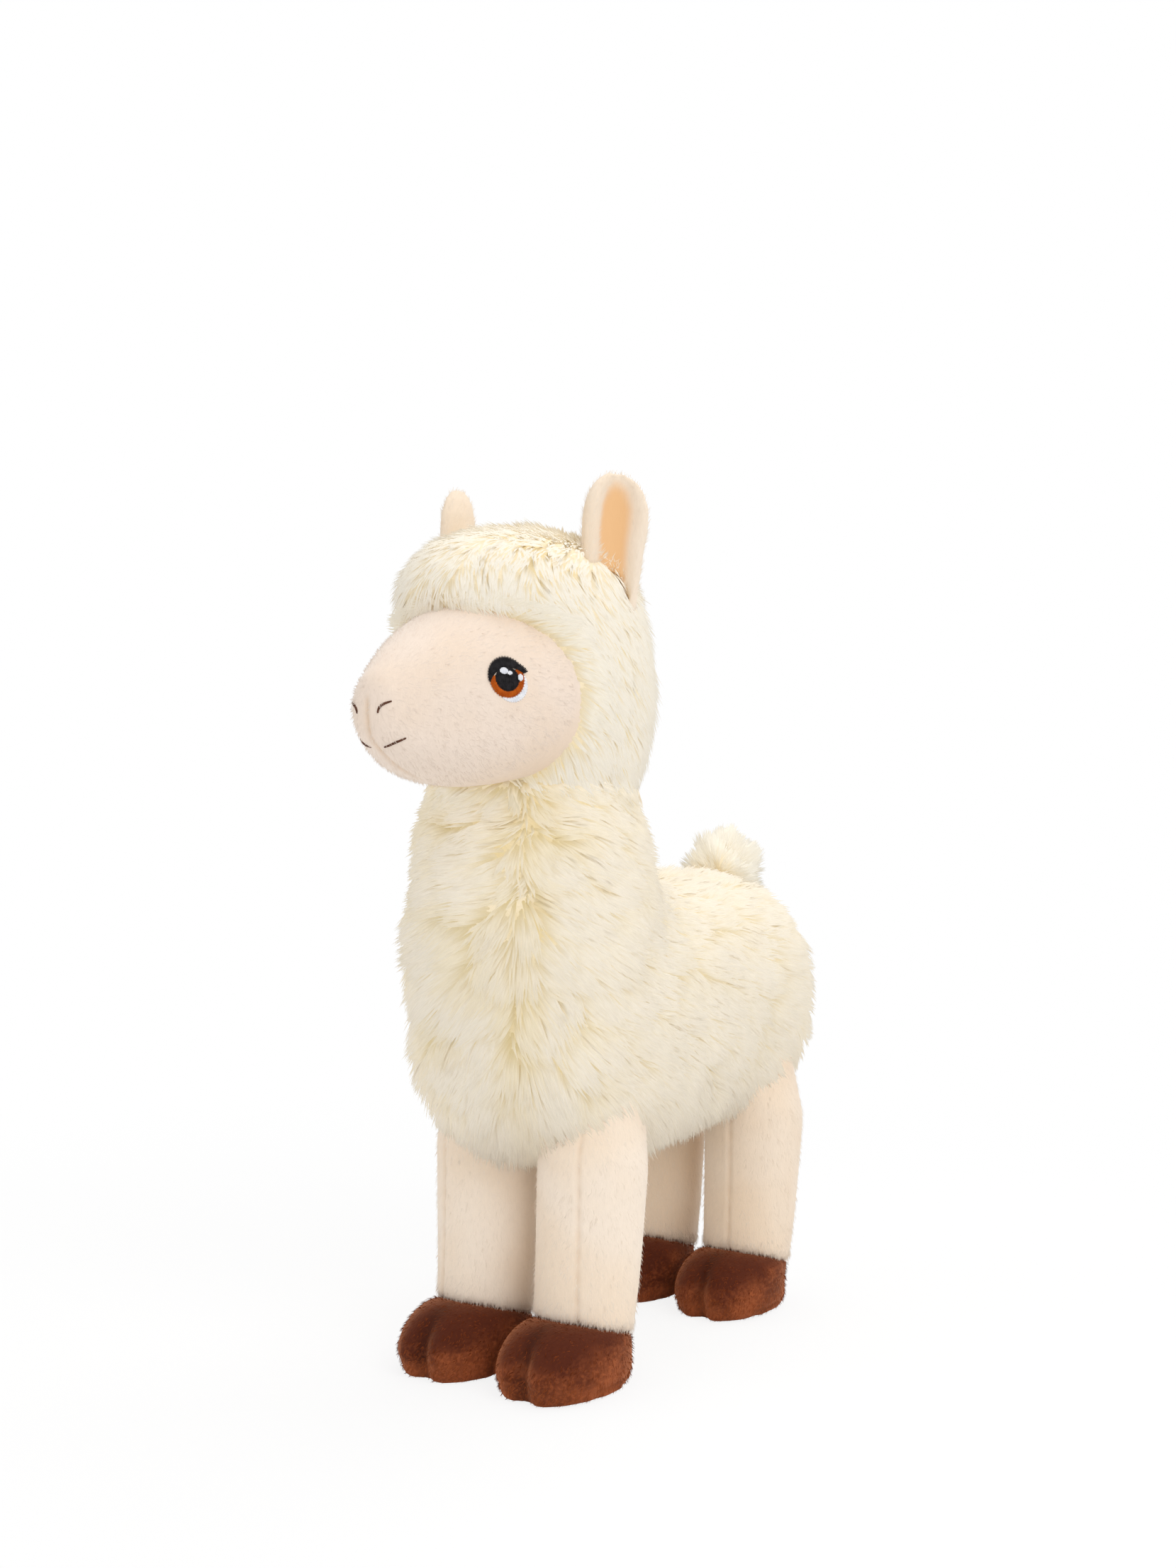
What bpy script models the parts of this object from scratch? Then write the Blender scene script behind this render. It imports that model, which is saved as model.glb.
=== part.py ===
"""Plush llama, standing on four feet: a long-pile coat, hood and tail, a short-pile face,
ears and legs, two-toed feet, and embroidered eyes, nostrils and mouth.

Metres, +Z up. The llama faces -Y and its left side is +X. Places below are in the stance
frame, whose origin lies on the floor between the four feet. One empty then carries the whole
animal, so that the part's origin is at the bottom centre of its box.
"""

from math import cos, exp, pi, radians, sin, sqrt
from typing import NamedTuple

import bmesh
import bpy
from mathutils import Vector, noise
from mathutils.bvhtree import BVHTree

# Gap between two sewn pieces
CLEARANCE = 0.0003

# Torso, to the tips of the pile
BACK_Z = 0.1665
BELLY_Z = 0.0755
BODY_HALF_WIDTH = 0.0428
RUMP_Y = 0.1065
RUMP_ROUNDING = 0.032
CHEST_Y = -0.0875
CHEST_Z = 0.140

# Neck, round an upright axis
NECK_Y = -0.042
NECK_HALF_DEPTH = 0.037
NECK_HALF_WIDTH = 0.0385
NECK_LENGTH = 0.032
NAPE_RADIUS = 0.028

# Hood, measured from the neck's axis and from the top of the neck
HOOD_HEIGHT = 0.0875
HOOD_HALF_WIDTH = 0.0420
HOOD_REACH = 0.0557
HOOD_BACK = 0.0422
OPENING_REACH = 0.0740
OPENING_RISE = 0.0285
OPENING_DEPTH = 0.0440
OPENING_HEIGHT = 0.0310

# Face and muzzle, measured like the hood
MUZZLE_REACH = 0.0860
MUZZLE_ROUNDING = 0.0042
FACE_SEAT = 0.0160
FACE_HALF_WIDTH = 0.0355
FACE_TOP = 0.0602
FACE_DROP = 0.0030

# Pile in relief
PILE_RELIEF = 0.0024
TUFT_LENGTH = 0.020
TUFT_WIDTH = 0.009
PARTING_X = 0.0170
PARTING_DEPTH = 0.0040
PARTING_WIDTH = 0.0075

# Ears
EAR_LENGTH = 0.0480
EAR_HALF_WIDTH = 0.0098
EAR_CUP_DEPTH = 0.0076
EAR_CURL = radians(94)
EAR_THICKNESS = 0.0076
EAR_DOME = 0.32
EAR_BASE = 0.66
EAR_RIM = 0.55
EAR_FLOOR = 0.5
EAR_OUT = 0.0274
EAR_AHEAD = 0.0030
EAR_ROOT_DEPTH = 0.0335
EAR_TURN = radians(62)
EAR_SPLAY = radians(8)

# Tail
TAIL_RADIUS = 0.0130
TAIL_LENGTH = 0.0340
TAIL_INSET = 0.0200
TAIL_SINK = 0.0010
TAIL_TILT = radians(38)

# Legs and feet
STANCE_X = 0.0205
HIP_X = 0.0222
HIP_SEAT = 0.0300
ANKLE_Z = 0.0172
ANKLE_TILT = 0.30
FOOT_HALF_WIDTH = 0.0195
FOOT_HALF_LENGTH = 0.0285
FOOT_SWELL = 0.30
SOLE_THICKNESS = 0.0030
TOE_CLEFT_DEPTH = 0.0070
TOE_CLEFT_SPREAD = radians(11)
TOE_SLOPE = 0.55
TOE_ROUNDING = 0.17
FOOT_POINTS = 28

# Embroidered eyes, with angles in degrees from the rear of the eye, going up
EYE_REACH = 0.0515
EYE_RISE = 0.0312
EYE_RADIUS = 0.0072
EYE_TURN = radians(30)
PUPIL_RADIUS = 0.0040
IRIS_RADIUS = 0.0060
LID_REAR = 20
LID_FRONT = 188
LID_GAP = 4
WHITE_END = -104
ARC_POINTS = 11
# Each glint's radius, and its place to the rear of the eye's middle and above it
GLINTS = ((0.0013, -0.0009, 0.0022), (0.0009, 0.0043, 0.0004))

# Embroidered nose and mouth
THREAD_HEIGHT = 0.0006
STROKE_HALF_WIDTH = 0.0006
NOSTRIL_X = 0.0058
NOSTRIL_RISE = 0.0222
NOSTRIL_SIZE = 0.0050
MOUTH_START_X = 0.0022
MOUTH_END_X = 0.0102
MOUTH_RISE = 0.0112
MOUTH_CURVE = 0.0020

# Colours
LONG_PILE = (0.93, 0.86, 0.70)
SHORT_PILE = (0.90, 0.80, 0.66)
HOOF_PILE = (0.16, 0.045, 0.018)
BLACK_THREAD = (0.010, 0.010, 0.012)
AMBER_THREAD = (0.50, 0.12, 0.010)
WHITE_THREAD = (0.90, 0.90, 0.92)
BROWN_THREAD = (0.10, 0.045, 0.035)

# Places that follow from the sizes
NECK_TOP_Z = BACK_Z + NECK_LENGTH
NAPE_Y = NECK_Y + NECK_HALF_DEPTH
THROAT_Y = NECK_Y - NECK_HALF_DEPTH
NOSE_Y = NECK_Y - MUZZLE_REACH
CROWN_Z = NECK_TOP_Z + HOOD_HEIGHT


class Section(NamedTuple):
    """One slice of a loft: a point on its back line and one on its belly line, both in the
    middle plane, its half width, and how square its belly half is, where 2 is an ellipse."""

    back: tuple
    belly: tuple
    half_width: float
    fullness: float = 2.0


class Leg(NamedTuple):
    """One pair of legs: where it stands and how thick it is."""

    foot_y: float
    ankle_y: float
    hip_y: float
    ankle_radius: float
    thigh_radius: float
    foot_scale: float


FRONT_LEG = Leg(-0.0540, -0.0425, -0.0365, 0.0168, 0.0190, 1.0)
HIND_LEG = Leg(0.0543, 0.0672, 0.0735, 0.0164, 0.0192, 0.95)


def material(name, colour, roughness):
    made = bpy.data.materials.new(name)
    made.use_nodes = True
    shader = made.node_tree.nodes["Principled BSDF"]
    shader.inputs["Base Color"].default_value = (*colour, 1)
    shader.inputs["Roughness"].default_value = roughness
    shader.inputs["Metallic"].default_value = 0
    return made


def mix(a, b, share):
    return a + (b - a) * share


def signed_power(value, power):
    return abs(value) ** power * (1 if value > 0 else -1)


def ring(section, segments):
    """The points of a section, going round from its back."""
    back, belly = Vector((0, *section.back)), Vector((0, *section.belly))
    centre, half = (back + belly) / 2, (back - belly) / 2
    points = []
    for i in range(segments):
        angle = 2 * pi * i / segments
        power = 2 / (section.fullness if cos(angle) < 0 else 2.0)
        across = Vector((section.half_width * signed_power(sin(angle), power), 0, 0))
        points.append(centre + half * signed_power(cos(angle), power) + across)
    return points


def smooth(stations, steps):
    """Sections on a smooth curve through the stations, with this many steps between two."""
    keys = [Vector((*s.back, *s.belly, s.half_width, s.fullness)) for s in stations]
    keys = [keys[0] * 2 - keys[1], *keys, keys[-1] * 2 - keys[-2]]
    flat = []
    for p0, p1, p2, p3 in zip(keys, keys[1:], keys[2:], keys[3:]):
        for step in range(steps):
            t = step / steps
            bend = (p2 - p0) * t + (2 * p0 - 5 * p1 + 4 * p2 - p3) * t**2
            flat.append((2 * p1 + bend + (3 * p1 - p0 - 3 * p2 + p3) * t**3) / 2)
    flat.append(keys[-2])
    return [Section((v[0], v[1]), (v[2], v[3]), v[4], v[5]) for v in flat]


def rounded_end(section, way, depth, steps):
    """Sections that close a loft with a dome of this depth, from its rim to near its pole."""
    back, belly = Vector(section.back), Vector(section.belly)
    centre, way = (back + belly) / 2, Vector(way).normalized()
    dome = []
    for step in range(1, steps + 1):
        angle = pi / 2 * step / (steps + 0.35)
        moved, scale = centre + way * (depth * sin(angle)), cos(angle)
        dome.append(
            Section(
                tuple(moved + (back - centre) * scale),
                tuple(moved + (belly - centre) * scale),
                section.half_width * scale,
                mix(section.fullness, 2.0, step / steps),
            )
        )
    return dome


def mesh_of_rings(name, rings):
    """A closed skin over rings of equal counts, with a fan to a pole at each end."""
    skin = bmesh.new()
    loops = [[skin.verts.new(point) for point in points] for points in rings]
    count = len(loops[0])
    for low, high in zip(loops, loops[1:]):
        for i in range(count):
            j = (i + 1) % count
            skin.faces.new((low[i], low[j], high[j], high[i]))
    for loop, points in ((loops[0], rings[0]), (loops[-1], rings[-1])):
        pole = skin.verts.new(sum(points, Vector()) / count)
        for i in range(count):
            skin.faces.new((loop[i], loop[(i + 1) % count], pole))
    return finished(name, skin)


def finished(name, skin):
    bmesh.ops.triangulate(skin, faces=skin.faces)
    bmesh.ops.recalc_face_normals(skin, faces=skin.faces)
    mesh = bpy.data.meshes.new(name)
    skin.to_mesh(mesh)
    skin.free()
    mesh.shade_smooth()
    mesh.set_sharp_from_angle(angle=radians(60))
    return mesh


def add(name, mesh, finish, parent):
    made = bpy.data.objects.new(name, mesh)
    bpy.context.scene.collection.objects.link(made)
    made.parent = parent
    if finish:
        mesh.materials.append(finish)
    return made


def helper(made):
    """Marks a cutter, which is no piece of the toy."""
    made.hide_render = True
    made.display_type = "WIRE"
    return made


def cut(target, cutter):
    modifier = target.modifiers.new("cut by " + cutter.name, "BOOLEAN")
    modifier.operation = "DIFFERENCE"
    modifier.solver = "EXACT"
    modifier.object = cutter


def grown(piece):
    """A cutter of the same form as a piece, larger all round by the clearance."""
    copy = helper(add(piece.name + "_cutter", piece.data.copy(), None, piece.parent))
    swell = copy.modifiers.new("clearance", "DISPLACE")
    swell.mid_level = 0
    swell.strength = CLEARANCE
    return copy


def shaggy(rings):
    """The rings with the pile's tufts in relief, which hang down the sides, and with the
    parting on the chest."""
    shaped = []
    for points in rings:
        centre = sum(points, Vector()) / len(points)
        lifted = []
        for point in points:
            place = Vector((point.x / TUFT_WIDTH, point.y / TUFT_WIDTH, point.z / TUFT_LENGTH))
            lift = PILE_RELIEF * (1 - 3.2 * abs(noise.noise(place)))
            if point.y < NECK_Y:
                away = (point.x - PARTING_X) / PARTING_WIDTH
                lift -= PARTING_DEPTH * exp(-(away**2))
            lifted.append(point + (point - centre).normalized() * lift)
        shaped.append(lifted)
    return shaped


def coat_sections():
    """From the rump along the torso, round the chest and up the neck."""
    pivot = (NAPE_Y + NAPE_RADIUS, BACK_Z + NAPE_RADIUS)

    def nape(degrees):
        turn = radians(degrees)
        return (pivot[0] - NAPE_RADIUS * sin(turn), pivot[1] - NAPE_RADIUS * cos(turn))

    def breast(share):
        """A point up the chest's front line, from the belly at 0 to the breast at 1."""
        return (mix(THROAT_Y + 0.012, CHEST_Y, share**0.55), mix(BELLY_Z + 0.006, CHEST_Z, share))

    hip_y = RUMP_Y - RUMP_ROUNDING
    waist_y = mix(hip_y, pivot[0], 0.5)
    wide, neck_wide = BODY_HALF_WIDTH, NECK_HALF_WIDTH
    stations = [
        Section((hip_y - 0.006, BACK_Z - 0.001), (hip_y + 0.004, BELLY_Z + 0.004), wide, 4.0),
        Section((waist_y, BACK_Z), (waist_y, BELLY_Z + 0.001), wide - 0.0005, 3.6),
        Section(nape(0), (pivot[0] - 0.014, BELLY_Z), wide, 3.6),
        Section(nape(22), (NECK_Y + 0.006, BELLY_Z - 0.001), wide, 3.3),
        Section(nape(38), breast(0.08), wide - 0.0005, 2.8),
        Section(nape(52), breast(0.45), wide - 0.0005, 2.4),
        Section(nape(66), breast(0.80), wide, 2.2),
        Section(nape(80), (CHEST_Y, CHEST_Z + 0.014), mix(wide, neck_wide, 0.5)),
        Section(nape(90), (mix(CHEST_Y, THROAT_Y, 0.4), NECK_TOP_Z - 0.015), neck_wide + 0.0005),
        Section((NAPE_Y, NECK_TOP_Z + 0.003), (THROAT_Y, NECK_TOP_Z - 0.002), neck_wide),
    ]
    rump = rounded_end(stations[0], (1, 0), RUMP_ROUNDING, 5)
    crown = rounded_end(stations[-1], (0, 1), 0.004, 2)
    return rump[::-1] + smooth(stations, 4) + crown


def face_sections():
    """From inside the hood forward to the nose."""
    top_z, low_z = NECK_TOP_Z + FACE_TOP, NECK_TOP_Z - FACE_DROP
    seat_y, tip_y = NECK_Y - FACE_SEAT, NOSE_Y + MUZZLE_ROUNDING
    profile = (
        (0.00, 0.0000, 0.0000, 1.000),
        (0.26, 0.0010, 0.0005, 0.985),
        (0.49, 0.0052, 0.0010, 0.855),
        (0.70, 0.0125, 0.0035, 0.635),
        (0.88, 0.0200, 0.0080, 0.400),
        (1.00, 0.0262, 0.0135, 0.255),
    )
    stations = []
    for share, below_top, above_low, width in profile:
        y = mix(seat_y, tip_y, share)
        top, low = (y, top_z - below_top), (y, low_z + above_low)
        stations.append(Section(top, low, FACE_HALF_WIDTH * width, 2.2))
    inside = rounded_end(stations[0], (1, 0), FACE_SEAT, 3)
    nose = rounded_end(stations[-1], (-1, 0), MUZZLE_ROUNDING, 3)
    return inside[::-1] + smooth(stations, 3) + nose


def hood_sections():
    """Level slices from the neck up to the crown."""
    base = NECK_TOP_Z + 0.002
    front, back = NECK_Y - HOOD_REACH, NECK_Y + HOOD_BACK
    profile = (
        (0.00, 0.020, 0.0050, 0.0038),
        (0.18, 0.010, 0.0015, 0.0010),
        (0.36, 0.005, 0.0000, 0.0000),
        (0.54, 0.001, 0.0010, 0.0010),
        (0.70, 0.000, 0.0045, 0.0035),
    )
    stations = []
    for share, front_in, back_in, side_in in profile:
        z = mix(base, CROWN_Z, share)
        stations.append(Section((back - back_in, z), (front + front_in, z), HOOD_HALF_WIDTH - side_in))
    crown = rounded_end(stations[-1], (0, 1), CROWN_Z - stations[-1].back[1], 5)
    floor = rounded_end(stations[0], (0, -1), 0.006, 2)
    return floor[::-1] + smooth(stations, 3) + crown


def loft(name, sections, segments, shag, finish, parent):
    rings = [ring(section, segments) for section in sections]
    return add(name, mesh_of_rings(name, shaggy(rings) if shag else rings), finish, parent)


def face_opening(parent):
    """The cutter that leaves the face bare: a drum along X, oval from the side."""
    y, z = NECK_Y - OPENING_REACH, NECK_TOP_Z + OPENING_RISE
    turns = [2 * pi * k / 32 for k in range(32)]
    rings = []
    for x in (-2 * HOOD_HALF_WIDTH, 2 * HOOD_HALF_WIDTH):
        rings.append(
            [Vector((x, y + OPENING_DEPTH * cos(a), z + OPENING_HEIGHT * sin(a))) for a in turns]
        )
    return helper(add("face_opening", mesh_of_rings("face_opening", rings), None, parent))


def leg_mesh(name, leg, side):
    """A stuffed tube from the slanting ankle seam up into the coat."""
    steps, segments = 5, 20
    hip_z = BELLY_Z + HIP_SEAT
    rings = []
    for step in range(steps + 1):
        share = step / steps
        radius = mix(leg.ankle_radius, leg.thigh_radius, min(1, share * 1.5) ** 0.8)
        radius *= sqrt(1 - max(0.0, (share - 0.75) / 0.25) ** 2 * 0.75)
        x = mix(STANCE_X, HIP_X, share)
        y = mix(leg.ankle_y, leg.hip_y, share**0.7)
        z = mix(ANKLE_Z + CLEARANCE / 2, hip_z, share)
        rings.append([])
        for k in range(segments):
            forward = radius * cos(2 * pi * k / segments)
            slant = ANKLE_TILT * forward * (1 - share)
            across = side * x + radius * sin(2 * pi * k / segments)
            rings[-1].append(Vector((across, y - forward, z + slant)))
    return mesh_of_rings(name, rings)


def foot_ring(leg, side, share, lift, segments):
    """A ring of the foot, from its sole at 0 to the ankle seam at 1, with the toes' cleft."""
    above = max(0.0, (share - FOOT_SWELL) / (1 - FOOT_SWELL))
    below = max(0.0, (FOOT_SWELL - share) / FOOT_SWELL)
    spread = sqrt(max(0.0, 1 - above**2)) * (1 - TOE_ROUNDING * below**2)
    wide = mix(leg.ankle_radius, FOOT_HALF_WIDTH * leg.foot_scale, spread)
    long = mix(leg.ankle_radius, FOOT_HALF_LENGTH * leg.foot_scale, spread)
    centre_y = mix(leg.ankle_y, leg.foot_y, spread)
    points = []
    for k in range(segments):
        angle = 2 * pi * k / segments
        off = min(angle, 2 * pi - angle) / TOE_CLEFT_SPREAD
        cleft = TOE_CLEFT_DEPTH * spread**2 * exp(-(off**2))
        toe = max(0.0, cos(angle))
        slope = TOE_SLOPE * toe * (spread - 1 + above) * (long - leg.ankle_radius)
        forward = long * cos(angle) - cleft - slope
        across = side * STANCE_X + wide * sin(angle)
        seam_z = ANKLE_Z - CLEARANCE / 2 + ANKLE_TILT * leg.ankle_radius * cos(angle)
        points.append(Vector((across, centre_y - forward, mix(lift, seam_z, share))))
    return points


def foot_mesh(name, leg, side):
    steps, low = 6, SOLE_THICKNESS + CLEARANCE
    shares = [sin(pi / 2 * step / steps) for step in range(steps + 1)]
    return mesh_of_rings(name, [foot_ring(leg, side, share, low, FOOT_POINTS) for share in shares])


def sole_mesh(name, leg, side):
    rim = foot_ring(leg, side, 0.0, 0.0, FOOT_POINTS)
    return mesh_of_rings(name, [rim, [point + Vector((0, 0, SOLE_THICKNESS)) for point in rim]])


def build_legs(finish, hoof_finish, parent, coat_cutter):
    for leg, end in ((FRONT_LEG, "front"), (HIND_LEG, "hind")):
        for side, word in ((1, "left"), (-1, "right")):
            place = f"{end}_{word}"
            limb = add("leg_" + place, leg_mesh("leg_" + place, leg, side), finish, parent)
            cut(limb, coat_cutter)
            add("foot_" + place, foot_mesh("foot_" + place, leg, side), hoof_finish, parent)
            add("sole_" + place, sole_mesh("sole_" + place, leg, side), hoof_finish, parent)


def ear_mesh(name):
    """A cupped leaf in its own frame: its tip along +Z and its hollow facing -Y."""
    across, along = 8, 7
    rings = []
    for i in range(along + 1):
        v = sin(pi / 2 * i / (along + 0.3))
        tip = max(0.0, (v - 1 + EAR_DOME) / EAR_DOME)
        width = mix(EAR_BASE, 1, sin(pi / 2 * min(1, v / (1 - EAR_DOME)))) * sqrt(1 - tip**2)
        half_thick = EAR_THICKNESS / 2 * sqrt(1 - v**8)
        points = []
        for k in range(2 * across):
            turn = 2 * pi * k / (2 * across)
            bend = EAR_CURL * sin(turn)
            reach = width + half_thick / EAR_HALF_WIDTH * signed_power(cos(turn), EAR_RIM)
            x = EAR_HALF_WIDTH * reach * sin(bend)
            y = EAR_CUP_DEPTH * (reach * cos(bend) - mix(EAR_FLOOR, 1, width))
            points.append(Vector((x, y, EAR_LENGTH * v)))
        rings.append(points)
    return mesh_of_rings(name, rings)


def build_ears(finish, parent, hood_cutter):
    for side, word in ((1, "left"), (-1, "right")):
        ear = add("ear_" + word, ear_mesh("ear_" + word), finish, parent)
        ear.location = (side * EAR_OUT, NECK_Y - EAR_AHEAD, CROWN_Z - EAR_ROOT_DEPTH)
        ear.rotation_euler = (0, side * EAR_SPLAY, side * EAR_TURN)
        cut(ear, hood_cutter)


def build_tail(finish, parent, coat_cutter):
    """A small pompom of long pile over the rump."""
    steps, segments = 8, 17
    rings = []
    for i in range(steps + 1):
        angle = pi * (i + 0.35) / (steps + 0.7)
        radius, height = TAIL_RADIUS * sin(angle), -TAIL_LENGTH / 2 * cos(angle)
        turns = [2 * pi * k / segments for k in range(segments)]
        rings.append([Vector((radius * cos(a), radius * sin(a), height)) for a in turns])
    tail = add("tail", mesh_of_rings("tail", rings), finish, parent)
    tail.location = (0, RUMP_Y - TAIL_INSET, BACK_Z - TAIL_SINK)
    tail.rotation_euler = (-TAIL_TILT, 0, 0)
    cut(tail, coat_cutter)


class Stitching:
    """Raised thread on the face, drawn flat and laid on the skin along one direction."""

    def __init__(self, face, origin, toward, parent):
        self.tree = BVHTree.FromPolygons(
            [v.co for v in face.data.vertices], [p.vertices for p in face.data.polygons]
        )
        self.parent = parent
        self.toward = Vector(toward).normalized()
        self.right = Vector((0, 0, 1)).cross(self.toward).normalized()
        self.up = self.toward.cross(self.right)
        self.origin = Vector(origin)

    def lay(self, a, b, lift):
        """The point over the skin at a to the right and b up, lifted off along the skin."""
        start = self.origin + self.right * a + self.up * b + self.toward * 0.1
        place, normal, _, _ = self.tree.ray_cast(start, -self.toward)
        return place + normal * lift

    def fill(self, name, outline, layer, finish):
        """A patch inside an outline that its middle sees whole."""
        middle = [sum(values) / len(outline) for values in zip(*outline)]
        skin = bmesh.new()
        loops, poles = [], []
        for lift in self.lifts(layer):
            loops.append([skin.verts.new(self.lay(a, b, lift)) for a, b in outline])
            poles.append(skin.verts.new(self.lay(*middle, lift)))
        for i in range(len(outline)):
            j = (i + 1) % len(outline)
            skin.faces.new((loops[0][i], loops[0][j], loops[1][j], loops[1][i]))
            for loop, pole in zip(loops, poles):
                skin.faces.new((loop[i], loop[j], pole))
        return add(name, finished(name, skin), finish, self.parent)

    def band(self, name, inner, outer, closed, layer, finish):
        """A patch between two curves of equal counts."""
        skin = bmesh.new()
        low, high = self.lifts(layer)
        edges = ((inner, low), (outer, low), (outer, high), (inner, high))
        loops = [[skin.verts.new(self.lay(a, b, lift)) for a, b in curve] for curve, lift in edges]
        count = len(inner)
        for i in range(count if closed else count - 1):
            j = (i + 1) % count
            for one, two in zip(loops, loops[1:] + loops[:1]):
                skin.faces.new((one[i], one[j], two[j], two[i]))
        if not closed:
            for end in (0, -1):
                skin.faces.new([loop[end] for loop in loops])
        return add(name, finished(name, skin), finish, self.parent)

    def stroke(self, name, path, finish):
        """A line of satin stitch along a path."""
        sides = []
        for i, point in enumerate(path):
            ahead, behind = path[min(i + 1, len(path) - 1)], path[max(i - 1, 0)]
            way = Vector((ahead[0] - behind[0], ahead[1] - behind[1])).normalized()
            taper = STROKE_HALF_WIDTH * (0.6 if i in (0, len(path) - 1) else 1)
            step = Vector((-way.y, way.x)) * taper
            sides.append((Vector(point) + step, Vector(point) - step))
        inner, outer = ([tuple(pair[k]) for pair in sides] for k in (0, 1))
        return self.band(name, inner, outer, False, 0, finish)

    def lifts(self, layer):
        low = CLEARANCE + layer * (THREAD_HEIGHT + CLEARANCE)
        return low, low + THREAD_HEIGHT


def arc(radius_a, radius_b, start, end, count, centre=(0.0, 0.0)):
    """Points of an oval arc, with the angles in degrees from the right, going up."""
    turns = [radians(mix(start, end, i / (count - 1))) for i in range(count)]
    return [(centre[0] + radius_a * cos(t), centre[1] + radius_b * sin(t)) for t in turns]


def circle(radius, count, centre=(0.0, 0.0)):
    return arc(radius, radius, 0, 360 - 360 / count, count, centre)


def build_eye(face, side, word, threads, parent):
    """Pupil, iris ring, upper lid, white corner and two glints, drawn as seen from outside."""
    forward = Vector((side * cos(EYE_TURN), -sin(EYE_TURN), 0))
    place = Vector((0, NECK_Y - EYE_REACH, NECK_TOP_Z + EYE_RISE))
    drawn = Stitching(face, place, (side, 0, 0), parent)
    seat = drawn.lay(0, 0, 0)
    eye = Stitching(face, seat, forward, parent)

    def swept(radius, start, end, count):
        """An arc with 0 degrees at the rear of either eye."""
        if side < 0:
            start, end = 180 - start, 180 - end
        return arc(radius, radius, start, end, count)

    inner, outer = PUPIL_RADIUS + CLEARANCE, IRIS_RADIUS + CLEARANCE
    eye.fill("pupil_" + word, circle(PUPIL_RADIUS, 13), 0, threads["black"])
    below = (LID_FRONT - 360 + LID_GAP, LID_REAR - LID_GAP, ARC_POINTS)
    iris = (swept(inner, *below), swept(IRIS_RADIUS, *below))
    eye.band("iris_" + word, *iris, False, 0, threads["amber"])
    above = (LID_REAR, LID_FRONT, ARC_POINTS)
    lid = (swept(inner, *above), swept(EYE_RADIUS, *above))
    eye.band("eyelid_" + word, *lid, False, 0, threads["black"])
    corner = (LID_REAR - 2 * LID_GAP, WHITE_END, ARC_POINTS)
    white = (swept(outer, *corner), swept(EYE_RADIUS, *corner))
    eye.band("eye_white_" + word, *white, False, 0, threads["white"])
    for number, (radius, a, b) in enumerate(GLINTS, 1):
        spot = circle(radius, 8, (side * a, b))
        eye.fill(f"eye_glint_{word}_{number}", spot, 1, threads["white"])


def build_muzzle(face, threads, parent):
    """Two nostrils and the two halves of the mouth line, laid on from the front."""
    front = Stitching(face, (0, NOSE_Y, NECK_TOP_Z), (0, -1, 0), parent)
    for side, word in ((1, "left"), (-1, "right")):
        hook = []
        for step in range(6):
            turn = radians(mix(205, 75, step / 5))
            reach = mix(0.45, 0.75, step / 5) * NOSTRIL_SIZE
            hook.append((side * (NOSTRIL_X + reach * cos(turn)), NOSTRIL_RISE + reach * sin(turn)))
        front.stroke("nostril_" + word, hook, threads["brown"])
        half = []
        for step in range(5):
            x = mix(MOUTH_START_X, MOUTH_END_X, step / 4)
            half.append((side * x, MOUTH_RISE + MOUTH_CURVE * (x / MOUTH_END_X) ** 2))
        front.stroke("mouth_" + word, half, threads["brown"])


def main():
    for obj in list(bpy.data.objects):
        bpy.data.objects.remove(obj)
    long_pile = material("long_pile", LONG_PILE, 0.95)
    short_pile = material("short_pile", SHORT_PILE, 0.9)
    hoof_pile = material("hoof_pile", HOOF_PILE, 0.9)
    threads = {
        "black": material("black_thread", BLACK_THREAD, 0.45),
        "amber": material("amber_thread", AMBER_THREAD, 0.5),
        "white": material("white_thread", WHITE_THREAD, 0.5),
        "brown": material("brown_thread", BROWN_THREAD, 0.6),
    }
    llama = bpy.data.objects.new("llama", None)
    bpy.context.scene.collection.objects.link(llama)

    coat = loft("coat", coat_sections(), 40, True, long_pile, llama)
    coat_cutter = grown(coat)
    face = loft("face", face_sections(), 24, False, short_pile, llama)
    nose_tip = min(vertex.co.y for vertex in face.data.vertices)
    rump_end = max(vertex.co.y for vertex in coat.data.vertices)
    llama.location.y = -(nose_tip + rump_end) / 2
    cut(face, coat_cutter)
    hood = loft("hood", hood_sections(), 34, True, long_pile, llama)
    hood_cutter = grown(hood)
    cut(hood, coat_cutter)
    cut(hood, face_opening(llama))
    cut(hood, grown(face))
    build_ears(short_pile, llama, hood_cutter)
    build_tail(long_pile, llama, coat_cutter)
    build_legs(short_pile, hoof_pile, llama, coat_cutter)
    for side, word in ((1, "left"), (-1, "right")):
        build_eye(face, side, word, threads, llama)
    build_muzzle(face, threads, llama)


if __name__ == "__main__":
    main()
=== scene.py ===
import logging
from dataclasses import dataclass, field
from enum import Enum
from math import cos, pi, radians, sin
from typing import Any, Iterable, Sequence

import bpy
import numpy as np
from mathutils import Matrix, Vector
from mathutils.bvhtree import BVHTree
from mathutils.kdtree import KDTree


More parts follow.
